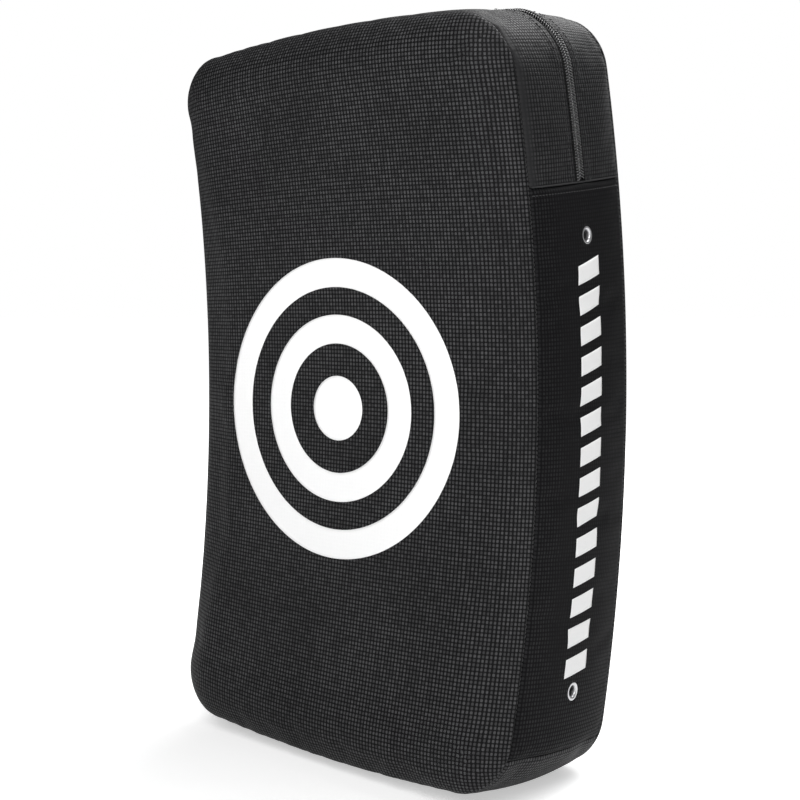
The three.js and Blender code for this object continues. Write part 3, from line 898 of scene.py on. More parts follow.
    def _list_faces(self) -> None:
        """Lists every quad with its panel and its corners' cloth coordinates."""
        self.faces: list[tuple[int, ...]] = []
        self.panels: list[Panel] = []
        self.uvs: list[list[tuple[float, float]]] = []
        for ids, uv, panel in zip(
            (self.front_ids, self.back_ids), self.face_uvs, (Panel.FRONT, Panel.BACK)
        ):
            for i in range(self.columns - 1):
                for j in range(self.rows - 1):
                    corners = [(i, j), (i + 1, j), (i + 1, j + 1), (i, j + 1)]
                    if panel is Panel.BACK:
                        corners.reverse()
                    self.faces.append(tuple(int(ids[c]) for c in corners))
                    self.uvs.append([tuple(uv[c]) for c in corners])
                    self.panels.append(panel)
        for station in range(len(self.ring)):
            beside = (station + 1) % len(self.ring)
            near, far = self.travel[station], self.travel[station + 1]
            for k, panel in enumerate(self._station_panel(station)):
                a, b = self.ring_ids[station], self.ring_ids[beside]
                self.faces.append((int(a[k]), int(a[k + 1]), int(b[k + 1]), int(b[k])))
                here, beyond = self.back[k], self.back[k + 1]
                self.uvs.append([(here, near), (beyond, near), (beyond, far), (here, far)])
                self.panels.append(panel)

    def normals(self) -> np.ndarray:
        """The outward normal at every point."""
        return normals_of(self.points, self.faces)


class EdgeLine:
    """A line round the pad's edge at one depth, from the right cross seam over the top to the left one."""

    def __init__(self, shape: PadShape, depth: float, low: float) -> None:
        """Samples the line finely.

        Args:
            shape: the pad's shape.
            depth: behind the front seam.
            low: height of both its ends.
        """
        share = depth / shape.thickness
        wide, tall = shape.half_sizes(share)
        corner = shape.corner(share)
        reach = corner + shape.bulge(share)
        turn = np.linspace(0, math.pi / 2, 60)[1:-1]
        side = np.linspace(low, tall - corner, 120)
        top = np.linspace(wide - corner, corner - wide, 240)
        half = [(wide - corner + reach + 0 * side, side)]
        half.append((wide - corner + reach * np.cos(turn), tall - corner + reach * np.sin(turn)))
        across = np.concatenate([*(a for a, _ in half), top, *(-a[::-1] for a, _ in half[::-1])])
        over = tall - corner + reach + 0 * top
        height = np.concatenate([*(h for _, h in half), over, *(h[::-1] for _, h in half[::-1])])
        self.points = shape.place(across, height, depth)
        behind = shape.place(across, height, depth + MM)
        self.along = unit(np.gradient(self.points, axis=0))
        self.back = unit(behind - self.points)
        self.out = unit(np.cross(self.back, self.along))
        steps = np.linalg.norm(np.diff(self.points, axis=0), axis=1)
        self.travel = np.concatenate([[0], np.cumsum(steps)])

    @property
    def length(self) -> float:
        """The line's length in metres."""
        return float(self.travel[-1])

    def frames(self, places: np.ndarray) -> tuple[np.ndarray, ...]:
        """Frames at distances along the line.

        Args:
            places: distances from its right end.

        Returns:
            Points, directions along, directions to the back and directions out of the cover.
        """
        parts = []
        for values in (self.points, self.along, self.back, self.out):
            parts.append(np.stack([np.interp(places, self.travel, values[:, k]) for k in range(3)], -1))
        return parts[0], unit(parts[1]), unit(parts[2]), unit(parts[3])


# ---- sewing ------------------------------------------------------------------------


class Sewing:
    """Rows of single stitches, each a short rounded loop of thread that dips in at both ends."""

    PITCH = 3.6 * MM
    REACH = 2.8 * MM
    RADIUS = 0.36 * MM
    SIDES = 6
    PROFILE = (
        (-0.5, 0.45, -0.5),
        (-0.36, 0.95, 0.15),
        (0.0, 1.0, 0.45),
        (0.36, 0.95, 0.15),
        (0.5, 0.45, -0.5),
    )

    def __init__(self) -> None:
        """Starts with no stitches."""
        self.points: list[np.ndarray] = []
        self.faces: list[tuple[int, ...]] = []
        self.count = 0

    def run(self, line: np.ndarray, out: np.ndarray, pitch: float = PITCH, sink: float = 0.0) -> None:
        """Sews along a line.

        Args:
            line: points on the cloth, in order.
            out: the cloth's outward direction at each of them.
            pitch: from one stitch to the next.
            sink: how deep the thread lies in the cloth.
        """
        steps = np.linalg.norm(np.diff(line, axis=0), axis=1)
        travel = np.concatenate([[0], np.cumsum(steps)])
        number = int(travel[-1] / pitch)
        if number < 1:
            return
        places = (np.arange(number) + 0.5) * travel[-1] / number
        reach = self.REACH * pitch / self.PITCH

        def at(values: np.ndarray, where: np.ndarray) -> np.ndarray:
            """Reads values between the line's points."""
            return np.stack([np.interp(where, travel, values[:, k]) for k in range(3)], -1)

        centre = at(line, places)
        along = unit(at(line, places + reach / 2) - at(line, places - reach / 2))
        up = unit(at(out, places))
        side = unit(np.cross(up, along))
        up = np.cross(along, side)
        turn = np.linspace(0, 2 * math.pi, self.SIDES, endpoint=False)
        rings = []
        for share, girth, lift in self.PROFILE:
            middle = centre + along * share * reach + up * (lift * self.RADIUS - sink)
            for angle in turn:
                spoke = side * math.cos(angle) + up * math.sin(angle)
                rings.append(middle + spoke * girth * self.RADIUS)
        block = np.stack(rings, 1)
        rows, each = len(self.PROFILE), block.shape[1]
        pattern = grid_faces(rows, self.SIDES, closed=True)
        pattern.append(tuple(range(self.SIDES))[::-1])
        pattern.append(tuple(each - self.SIDES + k for k in range(self.SIDES)))
        for stitch in range(number):
            start = self.count + stitch * each
            self.faces += [tuple(start + k for k in face)[::-1] for face in pattern]
        self.points.append(block.reshape(-1, 3))
        self.count += number * each

    def make(self, name: str, material: bpy.types.Material) -> bpy.types.Object:
        """Makes one piece of all the stitches.

        Args:
            name: the piece's name.
            material: the thread's finish.

        Returns:
            The piece, riding on the pad.
        """
        piece = Cloth(np.concatenate(self.points), self.faces).make(name)
        piece.data.materials.append(material)
        facing_out(piece)
        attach(piece, "pad")
        return piece


# ---- cover -------------------------------------------------------------------------


@dataclass(frozen=True)
class Stuffing:
    """How sewn cloth swells over the foam inside it."""

    pressure: float = 4.0
    frames: int = 20
    start_inside: float = 1.2 * MM
    cap: float = 2.5 * MM
    spare_cloth: float = 0.006
    stiffness: float = 18.0
    level: float = 30.0

    def swell(self, points: np.ndarray, faces: list[tuple[int, ...]], ease: np.ndarray) -> np.ndarray:
        """Simulates a closed body as cloth under pressure.

        Args:
            points: the body's points.
            faces: its faces, all facing out.
            ease: 0 where a point is sewn down, up to 1 where it is free.

        Returns:
            How far each point moves outwards.
        """
        out = normals_of(points, faces)
        sewn = np.nonzero(ease <= 0)[0]
        body = Cloth(points - out * (ease * self.start_inside)[:, None], faces).make("stuffing")
        held = body.vertex_groups.new(name="sewn")
        held.add([int(k) for k in sewn], 1.0, "REPLACE")
        cloth = body.modifiers.new("cloth", "CLOTH")
        cloth.collision_settings.use_collision = False
        cloth.point_cache.frame_start, cloth.point_cache.frame_end = 1, self.frames
        rules = cloth.settings
        rules.quality = 4
        rules.mass = 0.3
        rules.tension_stiffness = rules.compression_stiffness = self.stiffness
        rules.shear_stiffness = self.stiffness / 3
        rules.bending_stiffness = 1.0
        rules.air_damping = 4.0
        rules.use_pressure = True
        rules.uniform_pressure_force = self.pressure
        rules.effector_weights.gravity = 0.0
        rules.vertex_group_mass = "sewn"
        rules.shrink_min = -self.spare_cloth
        scene = bpy.context.scene
        for step in range(1, self.frames + 1):
            scene.frame_set(step)
        seen = body.evaluated_get(bpy.context.evaluated_depsgraph_get())
        moved = points_of(seen.data)
        scene.frame_set(1)
        bpy.data.objects.remove(body)
        swell = np.einsum("ij,ij->i", moved - points, out)
        LOG.info("swell %.2f to %.2f mm before it is held back", swell.min() / MM, swell.max() / MM)
        return swell

    def held_back(self, swell: np.ndarray, free: np.ndarray) -> np.ndarray:
        """Limits how far points move, to both sides of the part's usual swell.

        Args:
            swell: how far each point would move.
            free: 1 for a free point, 0 for a sewn one.

        Returns:
            How far each point may move.
        """
        usual = np.percentile(swell[free > 0], self.level)
        return self.cap * np.tanh((swell - usual) / self.cap) * free


class Cover:
    """The sewn cover: its panels, their seams, and the stitches that show."""

    THICKNESS = 1.6 * MM
    FACE_SEAM = SeamLine(2.2 * MM, 1.15 * MM)
    CROSS_SEAM = SeamLine(0.8 * MM, 0.9 * MM)
    TOPSTITCH = SeamLine(0.5 * MM, 1.5 * MM)
    BOTTOM_SEAM = SeamLine(1.9 * MM, 1.2 * MM)
    STUDDED = 16 * MM
    STUD_FADE = 18 * MM
    FLATTENED = 0.62
    FLAT_FROM = 15 * MM
    FLAT_OVER = 70 * MM
    PUCKER = 0.8 * MM
    FOLD = 0.75 * MM
    FOLD_RADIUS = 0.7 * MM
    SEAM_THREAD = 0.4 * MM
    LIP_STITCH = 6.2 * MM
    SMOOTH_EDGE = 9 * MM
    LIP_FOLDS = ((0.35 * MM, -0.4 * MM), (0.15 * MM, -1.4 * MM), (-0.9 * MM, -1.9 * MM))
    HOLE_CLEARED = 5.0 * MM
    HOLE_RADIUS = 6.6 * MM
    HOLE_REACH = 11.0 * MM
    EYELET_HEIGHTS = (127 * MM, -220 * MM)

    def __init__(self, shape: PadShape, finishes: Finishes) -> None:
        """Lays out the cover and swells it.

        Args:
            shape: the pad's shape.
            finishes: the shield's materials.
        """
        self.shape = shape
        self.finishes = finishes
        self.grid = CoverGrid(shape)
        self.sewing = Sewing()
        self._swell()
        self.out = self.grid.normals()
        self._sink_seams()
        self._pucker_lips()
        self.emboss = self._emboss()

    def _sewn(self) -> np.ndarray:
        """Numbers of the points that seams, the zip and the floor hold."""
        grid = self.grid
        sewn = [grid.ring_ids[:, 0], grid.ring_ids[:, -1]]
        lips = slice(grid.lip_steps - 1, grid.depths - grid.lip_steps + 1)
        sewn.append(grid.ring_ids[grid.zip_stations(), lips].ravel())
        for hand in Hand:
            for row in (grid.row_at(grid.CROSS_SEAM), grid.BOTTOM_SEAM_ROW):
                sewn.append(grid.ring_ids[grid.station_at(hand, row)])
        sewn.append(np.nonzero(grid.points[:, 2] < 0.5 * MM)[0])
        backed = grid.points[grid.back_ids][..., 1] > -1
        sewn.append(grid.back_ids[backed].ravel())
        return np.unique(np.concatenate(sewn))

    def _swell(self) -> None:
        """Swells the grid over its foam, the front and the sides each to its own measure."""
        grid, stuffing = self.grid, Stuffing()
        free = np.ones(len(grid.points))
        free[self._sewn()] = 0
        swell = stuffing.swell(grid.points, grid.faces, np.clip(grid.away / (20 * MM), 0, 1) * free)
        out = grid.normals()
        for ids in (grid.front_ids.ravel(), grid.ring_ids[:, 1:-1].ravel()):
            grid.points[ids] += out[ids] * stuffing.held_back(swell[ids], free[ids])[:, None]

    def _sink_seams(self) -> None:
        """Draws the cover in along its seams and rows of topstitching."""
        grid = self.grid
        dents = self.FACE_SEAM.dent(grid.away)
        travel = grid.travel[:-1]
        for hand in Hand:
            for row, seam in (
                (grid.row_at(grid.CROSS_SEAM), self.CROSS_SEAM),
                (grid.row_at(grid.CROSS_SEAM - grid.TOPSTITCH), self.TOPSTITCH),
                (grid.BOTTOM_SEAM_ROW, self.BOTTOM_SEAM),
            ):
                station = grid.station_at(hand, row)
                dent = seam.dent(np.abs(travel - travel[station]))
                ids = grid.ring_ids[:, 1:-1]
                dents[ids] = np.maximum(dents[ids], dent[:, None])
        grid.points = grid.points - self.out * dents[:, None]
        grid.points[:, 2] = np.maximum(grid.points[:, 2], 0)

    def _pucker_lips(self) -> None:
        """Lifts the cloth in small uneven puckers along the zip's stitches."""
        grid = self.grid
        stations = grid.zip_stations()[1:-1]
        count = np.arange(len(stations))
        wave = np.cos(math.pi * count) * (0.7 + 0.3 * np.sin(1.3 * count))
        for edge in (grid.lip_steps - 1, grid.depths - grid.lip_steps):
            ids = grid.ring_ids[stations, edge]
            grid.points[ids] += self.out[ids] * (self.PUCKER * wave)[:, None]

    def _emboss(self) -> np.ndarray:
        """How far the studs show: less on the gusset's front edge and on the flat of the sides."""
        grid = self.grid
        held = np.ones(len(grid.points))
        low, high = grid.BOTTOM_SEAM_ROW, grid.row_at(grid.CROSS_SEAM)
        fade = np.clip((grid.back[1:-1] - self.STUDDED) / self.STUD_FADE, 0, 1)
        for hand in Hand:
            ends = sorted(grid.station_at(hand, row) for row in (low, high))
            span = slice(ends[0], ends[1] + 1)
            above = np.abs(grid.travel[span] - grid.travel[grid.station_at(hand, low)])
            middle = np.clip((above - self.FLAT_FROM) / self.FLAT_OVER, 0, 1)
            held[grid.ring_ids[span, 1:-1]] = 1 - self.FLATTENED * fade[None, :] * middle[:, None]
        ids = grid.ring_ids[grid.zip_stations()[1:-1], 1:-1]
        edge = np.clip((grid.back[None, 1:-1] - 3 * MM) / self.SMOOTH_EDGE, 0, 1)
        held[ids] = np.broadcast_to(0.15 + 0.85 * edge, ids.shape)
        return held

    def cut(self, panel: Panel) -> Cloth:
        """Cuts one panel out of the grid.

        Args:
            panel: which one.

        Returns:
            Its points and faces.
        """
        grid = self.grid
        chosen = [n for n, owner in enumerate(grid.panels) if owner is panel]
        used = sorted({point for n in chosen for point in grid.faces[n]})
        number = {point: k for k, point in enumerate(used)}
        faces = [tuple(number[point] for point in grid.faces[n]) for n in chosen]
        uvs = [corner for n in chosen for corner in grid.uvs[n]]
        cloth = Cloth(grid.points[used], faces, uvs, self.emboss[used])
        self._step_at_cross_seam(cloth, number, panel)
        if panel in (Panel.ZIP_FRONT, Panel.ZIP_REAR):
            self._fold_lip(cloth, number, panel)
        return cloth

    def _step_at_cross_seam(self, cloth: Cloth, number: dict[int, int], panel: Panel) -> None:
        """Lifts a zip strip's folded end over the side panel, whose own end lies deeper.

        Args:
            cloth: the panel, whose points move.
            number: the panel's number for each of the grid's points.
            panel: which panel.
        """
        grid = self.grid
        if panel in (Panel.ZIP_FRONT, Panel.ZIP_REAR):
            steps = ((0, self.FOLD), (1, 0.6 * self.FOLD))
        elif panel in (Panel.LEFT, Panel.RIGHT):
            steps = ((0, -1.6 * self.FOLD),)
        else:
            return
        for hand in Hand:
            for away, lift in steps:
                station = grid.station_at(hand, grid.row_at(grid.CROSS_SEAM) + away)
                for point in grid.ring_ids[station, 1:-1]:
                    if int(point) in number:
                        cloth.points[number[int(point)]] += self.out[point] * lift

    def _fold_lip(self, cloth: Cloth, number: dict[int, int], panel: Panel) -> None:
        """Folds a zip strip's free edge under, beside the zip.

        Args:
            cloth: the strip, which gains the fold.
            number: the strip's number for each of the grid's points.
            panel: which strip.
        """
        grid = self.grid
        front = panel is Panel.ZIP_FRONT
        edge = grid.lip_steps if front else grid.depths - 1 - grid.lip_steps
        stations = grid.zip_stations()
        rim_ids = grid.ring_ids[stations, edge]
        rim = grid.points[rim_ids]
        inward = unit(rim - grid.points[grid.ring_ids[stations, edge + (-1 if front else 1)]])
        out = self.out[rim_ids]
        previous = [number[int(k)] for k in rim_ids]
        place = grid.back[edge]
        count = len(cloth.points)
        for shift, lift in self.LIP_FOLDS:
            row = rim + inward * shift + out * lift
            cloth.points = np.vstack([cloth.points, row])
            cloth.emboss = np.concatenate([cloth.emboss, np.full(len(row), 0.3)])
            current = list(range(count, count + len(row)))
            count += len(row)
            further = place + (1 if front else -1) * 1.2 * MM
            for k in range(len(row) - 1):
                corners = [(previous[k], place, k), (current[k], further, k)]
                corners += [(current[k + 1], further, k + 1), (previous[k + 1], place, k + 1)]
                if not front:
                    corners.reverse()
                cloth.faces.append(tuple(c[0] for c in corners))
                cloth.uvs += [(c[1], grid.travel[stations[c[2]]]) for c in corners]
            previous, place = current, further

    def _punch(self, piece: bpy.types.Object, hand: Hand) -> None:
        """Opens a side panel under each of its eyelets.

        Args:
            piece: the panel, before it has its thickness.
            hand: which side it is on.
        """
        mesh = piece.data
        places = points_of(mesh)
        doomed = np.zeros(len(places), bool)
        for height in self.EYELET_HEIGHTS:
            centre, along, back, _ = side_frame(self.shape, hand, height)
            offset = places - centre
            flat = np.stack([offset @ along, offset @ back], -1)
            far = np.linalg.norm(flat, axis=1)
            doomed |= (far < self.HOLE_CLEARED) & (np.linalg.norm(offset, axis=1) < 2 * self.HOLE_REACH)
        old_faces = [tuple(face.vertices) for face in mesh.polygons]
        uvs = np.zeros(2 * len(mesh.loops), np.float32)
        mesh.uv_layers[UV_NAME].data.foreach_get("uv", uvs)
        uvs = uvs.reshape(-1, 2)
        emboss = np.zeros(len(places), np.float32)
        mesh.attributes[EMBOSS].data.foreach_get("value", emboss)
        faces, kept_uvs, corner, rim = [], [], 0, set()
        for face in old_faces:
            size = len(face)
            if any(doomed[point] for point in face):
                rim |= {point for point in face if not doomed[point]}
            else:
                faces.append(face)
                kept_uvs += [tuple(uv) for uv in uvs[corner : corner + size]]
            corner += size
        rim_ids = np.array(sorted(rim))
        for height in self.EYELET_HEIGHTS:
            centre, along, back, _ = side_frame(self.shape, hand, height)
            offset = places[rim_ids] - centre
            flat = np.stack([offset @ along, offset @ back], -1)
            far = np.linalg.norm(flat, axis=1)
            near = far < self.HOLE_REACH
            pull = (self.HOLE_RADIUS / np.maximum(far[near], 1e-6) - 1)[:, None] * flat[near]
            places[rim_ids[near]] += pull[:, :1] * along + pull[:, 1:] * back
        used = sorted({point for face in faces for point in face})
        number = {point: k for k, point in enumerate(used)}
        faces = [tuple(number[point] for point in face) for face in faces]
        spare = Cloth(places[used], faces, kept_uvs, emboss[used]).make(piece.name + "_punched")
        piece.data = spare.data
        bpy.data.objects.remove(spare)

    def build(self) -> dict[Panel, bpy.types.Object]:
        """Makes every panel and the cover's stitching.

        Returns:
            The panels' pieces.
        """
        pieces = {}
        for panel in Panel:
            if panel is Panel.OPENING:
                continue
            on_face = panel in (Panel.FRONT, Panel.BACK)
            piece = smoothed(self.cut(panel).make("cover_" + panel.value), corners=not on_face)
            if panel in (Panel.LEFT, Panel.RIGHT):
                self._punch(piece, Hand.LEFT if panel is Panel.LEFT else Hand.RIGHT)
            thickened(piece, self.THICKNESS)
            piece.data.materials.clear()
            piece.data.materials.append(self._finish_of(panel))
            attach(piece, "pad")
            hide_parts(panel.value)
            pieces[panel] = piece
            LOG.info("made %s, %d faces", piece.name, len(piece.data.polygons))
        self._fold_edges()
        self._sew()
        return pieces

    def _fold_edges(self) -> None:
        """Makes the rounded edge where the zip strips' ends fold under, over each cross seam."""
        grid, radius = self.grid, self.FOLD_RADIUS
        turn = np.linspace(0, 2 * math.pi, 8, endpoint=False)
        for hand in Hand:
            ids = grid.ring_ids[grid.station_at(hand, grid.row_at(grid.CROSS_SEAM)), 1:-1]
            out = self.out[ids]
            line = grid.points[ids] + out * self.FOLD
            up = unit(np.cross(out, np.gradient(line, axis=0)))
            rings = [line + (out * math.sin(angle) + up * math.cos(angle)) * radius for angle in turn]
            cloth = tube(np.stack(rings, 1))
            cloth.emboss = np.zeros(len(cloth.points))
            piece = smoothed(facing_out(cloth.make("fold_edge_" + hand.word)))
            piece.data.materials.clear()
            piece.data.materials.append(self.finishes.cover)
            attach(piece, "pad")

    def _finish_of(self, panel: Panel) -> bpy.types.Material:
        """The leather cloth of a panel; the sides and the zip strips take darker copies of the cover cloth,
        painted shade.
        """
        if panel in (Panel.LEFT, Panel.RIGHT):
            return self.finishes.side_cover_painted_shade
        if panel in (Panel.ZIP_FRONT, Panel.ZIP_REAR):
            return self.finishes.strip_cover_painted_shade
        return self.finishes.cover

    def _sew(self) -> None:
        """Sews the rows of stitches that show on the cover."""
        grid = self.grid
        for column in (0, -1):
            ids = np.append(grid.ring_ids[:, column], grid.ring_ids[0, column])
            self.sewing.run(grid.points[ids], self.out[ids], sink=-self.SEAM_THREAD)
        inner = slice(1, -1)
        for hand in Hand:
            station = grid.station_at(hand, grid.row_at(grid.CROSS_SEAM - grid.TOPSTITCH))
            ids = grid.ring_ids[station, inner]
            self.sewing.run(grid.points[ids], self.out[ids], sink=0.1 * MM)
        stations = grid.zip_stations()
        for front in (True, False):
            edge = grid.lip_steps if front else grid.depths - 1 - grid.lip_steps
            beside = edge + (-1 if front else 1)
            share = self.LIP_STITCH / abs(grid.back[edge] - grid.back[beside])
            rim, inner_row = grid.ring_ids[stations, edge], grid.ring_ids[stations, beside]
            line = grid.points[rim] * (1 - share) + grid.points[inner_row] * share
            self.sewing.run(line, self.out[rim], sink=0.12 * MM)
        self.sewing.make("cover_stitching", self.finishes.thread)


def side_frame(shape: PadShape, hand: Hand, height: float) -> tuple[np.ndarray, ...]:
    """A frame on the middle of a side.

    Args:
        shape: the pad's shape.
        hand: which side.
        height: up along the curve from the middle.

    Returns:
        The point, the directions up and to the back, and the direction out of the cover.
    """
    depth = shape.thickness / 2
    wide, _ = shape.half_sizes(0.5)
    across = hand.value * (wide + shape.bulge(0.5))
    point = shape.place(across, height, depth)
    along = unit(shape.place(across, height + MM, depth) - shape.place(across, height - MM, depth))
    back = unit(shape.place(across, height, depth + MM) - shape.place(across, height, depth - MM))
    out = unit(np.cross(along, back) * hand.value)
    out = out if out[0] * hand.value > 0 else -out
    return point, along, back, out


# ---- zip ---------------------------------------------------------------------------


class Zip:
    """The coil zip over the top: every turn of both coils, with the slider and pull as packed."""

    PITCH = 2.25 * MM
    PATH = (
        (4.6, -1.5, 0.36),
        (4.4, -0.3, 0.54),
        (3.7, 0.5, 0.62),
        (2.6, 0.8, 0.62),
        (1.4, 0.6, 0.54),
        (0.3, 0.1, 0.45),
        (-0.5, -0.7, 0.36),
    )
    SLANT = 0.5
    SIDES = 7
    DIVE = 4 * MM
    DIVE_DEPTH = 0.9 * MM
    SEAM_CLEAR = 1.4 * MM

    def __init__(self, shape: PadShape, finishes: Finishes) -> None:
        """Keeps what the zip is built from.

        Args:
            shape: the pad's shape.
            finishes: the shield's materials.
        """
        self.finishes = finishes
        self.line = EdgeLine(shape, shape.thickness / 2, CoverGrid.CROSS_SEAM)

    def build(self) -> None:
        """Makes both coils and dresses the tapes, the slider and the pull tab."""
        for side, name in ((-1, "front"), (1, "rear")):
            self._coil(side, name)
            dress_node("zip_tape_" + name, self.finishes.zip_tape)
        for name in ("zip_slider", "zip_pull_tab"):
            dress_node(name, self.finishes.zip_metal, bevel=0.35 * MM)

    def _coil(self, side: int, name: str) -> None:
        """Makes the turns of one coil.

        Args:
            side: -1 for the front coil, 1 for the rear one.
            name: which coil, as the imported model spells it.
        """
        line = self.line
        low, high = self.SEAM_CLEAR, line.length - self.SEAM_CLEAR
        places = np.arange(low, high, self.PITCH) + (self.PITCH / 2 if side > 0 else 0)
        places = places[places < high]
        centre, along, back, out = line.frames(places)
        ends = np.minimum(places, line.length - places)
        dive = self.DIVE_DEPTH * np.clip(1 - ends / self.DIVE, 0, 1) ** 2
        turn = np.linspace(0, 2 * math.pi, self.SIDES, endpoint=False)
        path = np.array(self.PATH) * MM
        heading = unit(np.gradient(path[:, :2], axis=0))
        rings = []
        for (reach, lift, girth), (run, climb) in zip(path, heading):
            slide = (path[0, 0] - reach) * self.SLANT
            middle = centre + back * (side * reach) + out * (lift - dive)[:, None] + along * slide
            upward = out * run - back * (side * climb)
            for angle in turn:
                spoke = along * math.cos(angle) + upward * math.sin(angle) * 0.9
                rings.append(middle + spoke * girth)
        block = np.stack(rings, 1)
        each = block.shape[1]
        pattern = grid_faces(len(path), self.SIDES, closed=True)
        pattern.append(tuple(range(self.SIDES))[::-1])
        pattern.append(tuple(each - self.SIDES + k for k in range(self.SIDES)))
        flip = -1 if side < 0 else 1
        faces = [
            tuple(n * each + k for k in face)[::flip] for n in range(len(places)) for face in pattern
        ]
        piece = Cloth(block.reshape(-1, 3), faces).make("coil_turns_" + name)
        facing_out(piece)
        piece.data.materials.append(self.finishes.coil)
        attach(piece, "pad")
        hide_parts("zip_coil_" + name)
        LOG.info("made %s, %d turns", piece.name, len(places))


def dress_node(name: str, material: bpy.types.Material, bevel: float = 0.0) -> None:
    """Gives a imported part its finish, and softens its edges.

    Args:
        name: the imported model's node.
        material: the finish.
        bevel: width of the rounded edges, or 0 for none.
    """
    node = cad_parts[name]
    node.data.materials.clear()
    node.data.materials.append(material)
    if bevel:
        edges = node.modifiers.new("edges", "BEVEL")
        edges.width = bevel
        edges.segments = 3
        edges.limit_method = "ANGLE"
        edges.angle_limit = math.radians(35)
        edges.use_clamp_overlap = True


# ---- eyelets and prints ------------------------------------------------------------


@dataclass(frozen=True)
class Eyelet:
    """A pressed metal eyelet: a rolled flange, a flared throat and a barrel."""

    radius: float = 9.1 * MM
    profile: tuple[tuple[float, float], ...] = (
        (4.35, -3.6),
        (4.4, -1.2),
        (4.5, 0.4),
        (4.75, 1.25),
        (5.25, 1.8),
        (6.0, 2.05),
        (6.8, 1.98),
        (7.7, 1.6),
        (8.5, 0.95),
        (9.0, 0.3),
        (9.1, -0.15),
        (8.8, -0.45),
        (7.6, -0.3),
        (6.2, -0.2),
        (5.35, -0.5),
        (5.2, -1.4),
        (5.15, -3.6),
    )
    # Profile of the dark disc in the barrel, painted shade in the hole.
    shade_disc_profile: tuple[tuple[float, float], ...] = ((4.5, -2.2), (3.4, -2.5), (2.2, -2.7), (1.0, -2.8))
    sides: int = 56

    def build(self, shape: PadShape, hand: Hand, level: str, height: float, finishes: Finishes) -> None:
        """Makes one eyelet.

        Args:
            shape: the pad's shape.
            hand: which side it is on.
            level: "upper" or "lower".
            height: up along the curve from the middle.
            finishes: the shield's materials.
        """
        centre, along, back, out = side_frame(shape, hand, height)
        turn = np.linspace(0, 2 * math.pi, self.sides, endpoint=False)
        spokes = along * np.cos(turn)[:, None] + back * np.sin(turn)[:, None]
        points = np.concatenate(
            [centre + spokes * reach * MM + out * lift * MM for reach, lift in self.profile]
        )
        count = len(self.profile)
        faces = grid_faces(count, self.sides, closed=True)
        for k in range(self.sides):
            beside = (k + 1) % self.sides
            last = (count - 1) * self.sides
            faces.append((last + k, last + beside, beside, k))
        name = f"{level}_{hand.word}"
        piece = facing_out(Cloth(points - centre, faces).make("ring_" + name))
        piece.data.transform(place_at(centre))
        piece.data.materials.append(finishes.nickel)
        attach(piece, "pad")
        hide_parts("eyelet_" + name)
        dress_node("eyelet_washer_" + name, finishes.nickel)
        # A dark disc in the barrel stands for the shade in the hole: painted shade.
        self._line(spokes, centre, out, name, finishes.webbing)

    def _line(
        self, spokes: np.ndarray, centre: np.ndarray, out: np.ndarray, name: str, shade_disc_finish: bpy.types.Material
    ) -> None:
        """Closes the barrel with the dark lining that lies behind the cover.

        Args:
            spokes: directions from the eyelet's axis to its sides.
            centre: the eyelet's middle.
            out: its axis, out of the cover.
            name: which eyelet.
            shade_disc_finish: the finish of the dark disc, painted shade in the hole.
        """
        rings = [spokes * reach * MM + out * lift * MM for reach, lift in self.shade_disc_profile]
        faces = grid_faces(len(rings), self.sides, closed=True)
        faces.append(tuple((len(rings) - 1) * self.sides + k for k in range(self.sides)))
        corners = [(np.concatenate(rings)[k] @ spokes[0], np.concatenate(rings)[k] @ spokes[self.sides // 4])
                   for face in faces for k in face]
        piece = Cloth(np.concatenate(rings), faces, corners).make("shade_disc_" + name)
        piece.data.transform(place_at(centre))
        thickened(piece, 0.4 * MM, 0.0)
        piece.data.materials.append(shade_disc_finish)
        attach(piece, "pad")


def place_at(point: np.ndarray) -> Matrix:
    """A matrix that moves a mesh to a point."""
    return Matrix.Translation(Vector(point))


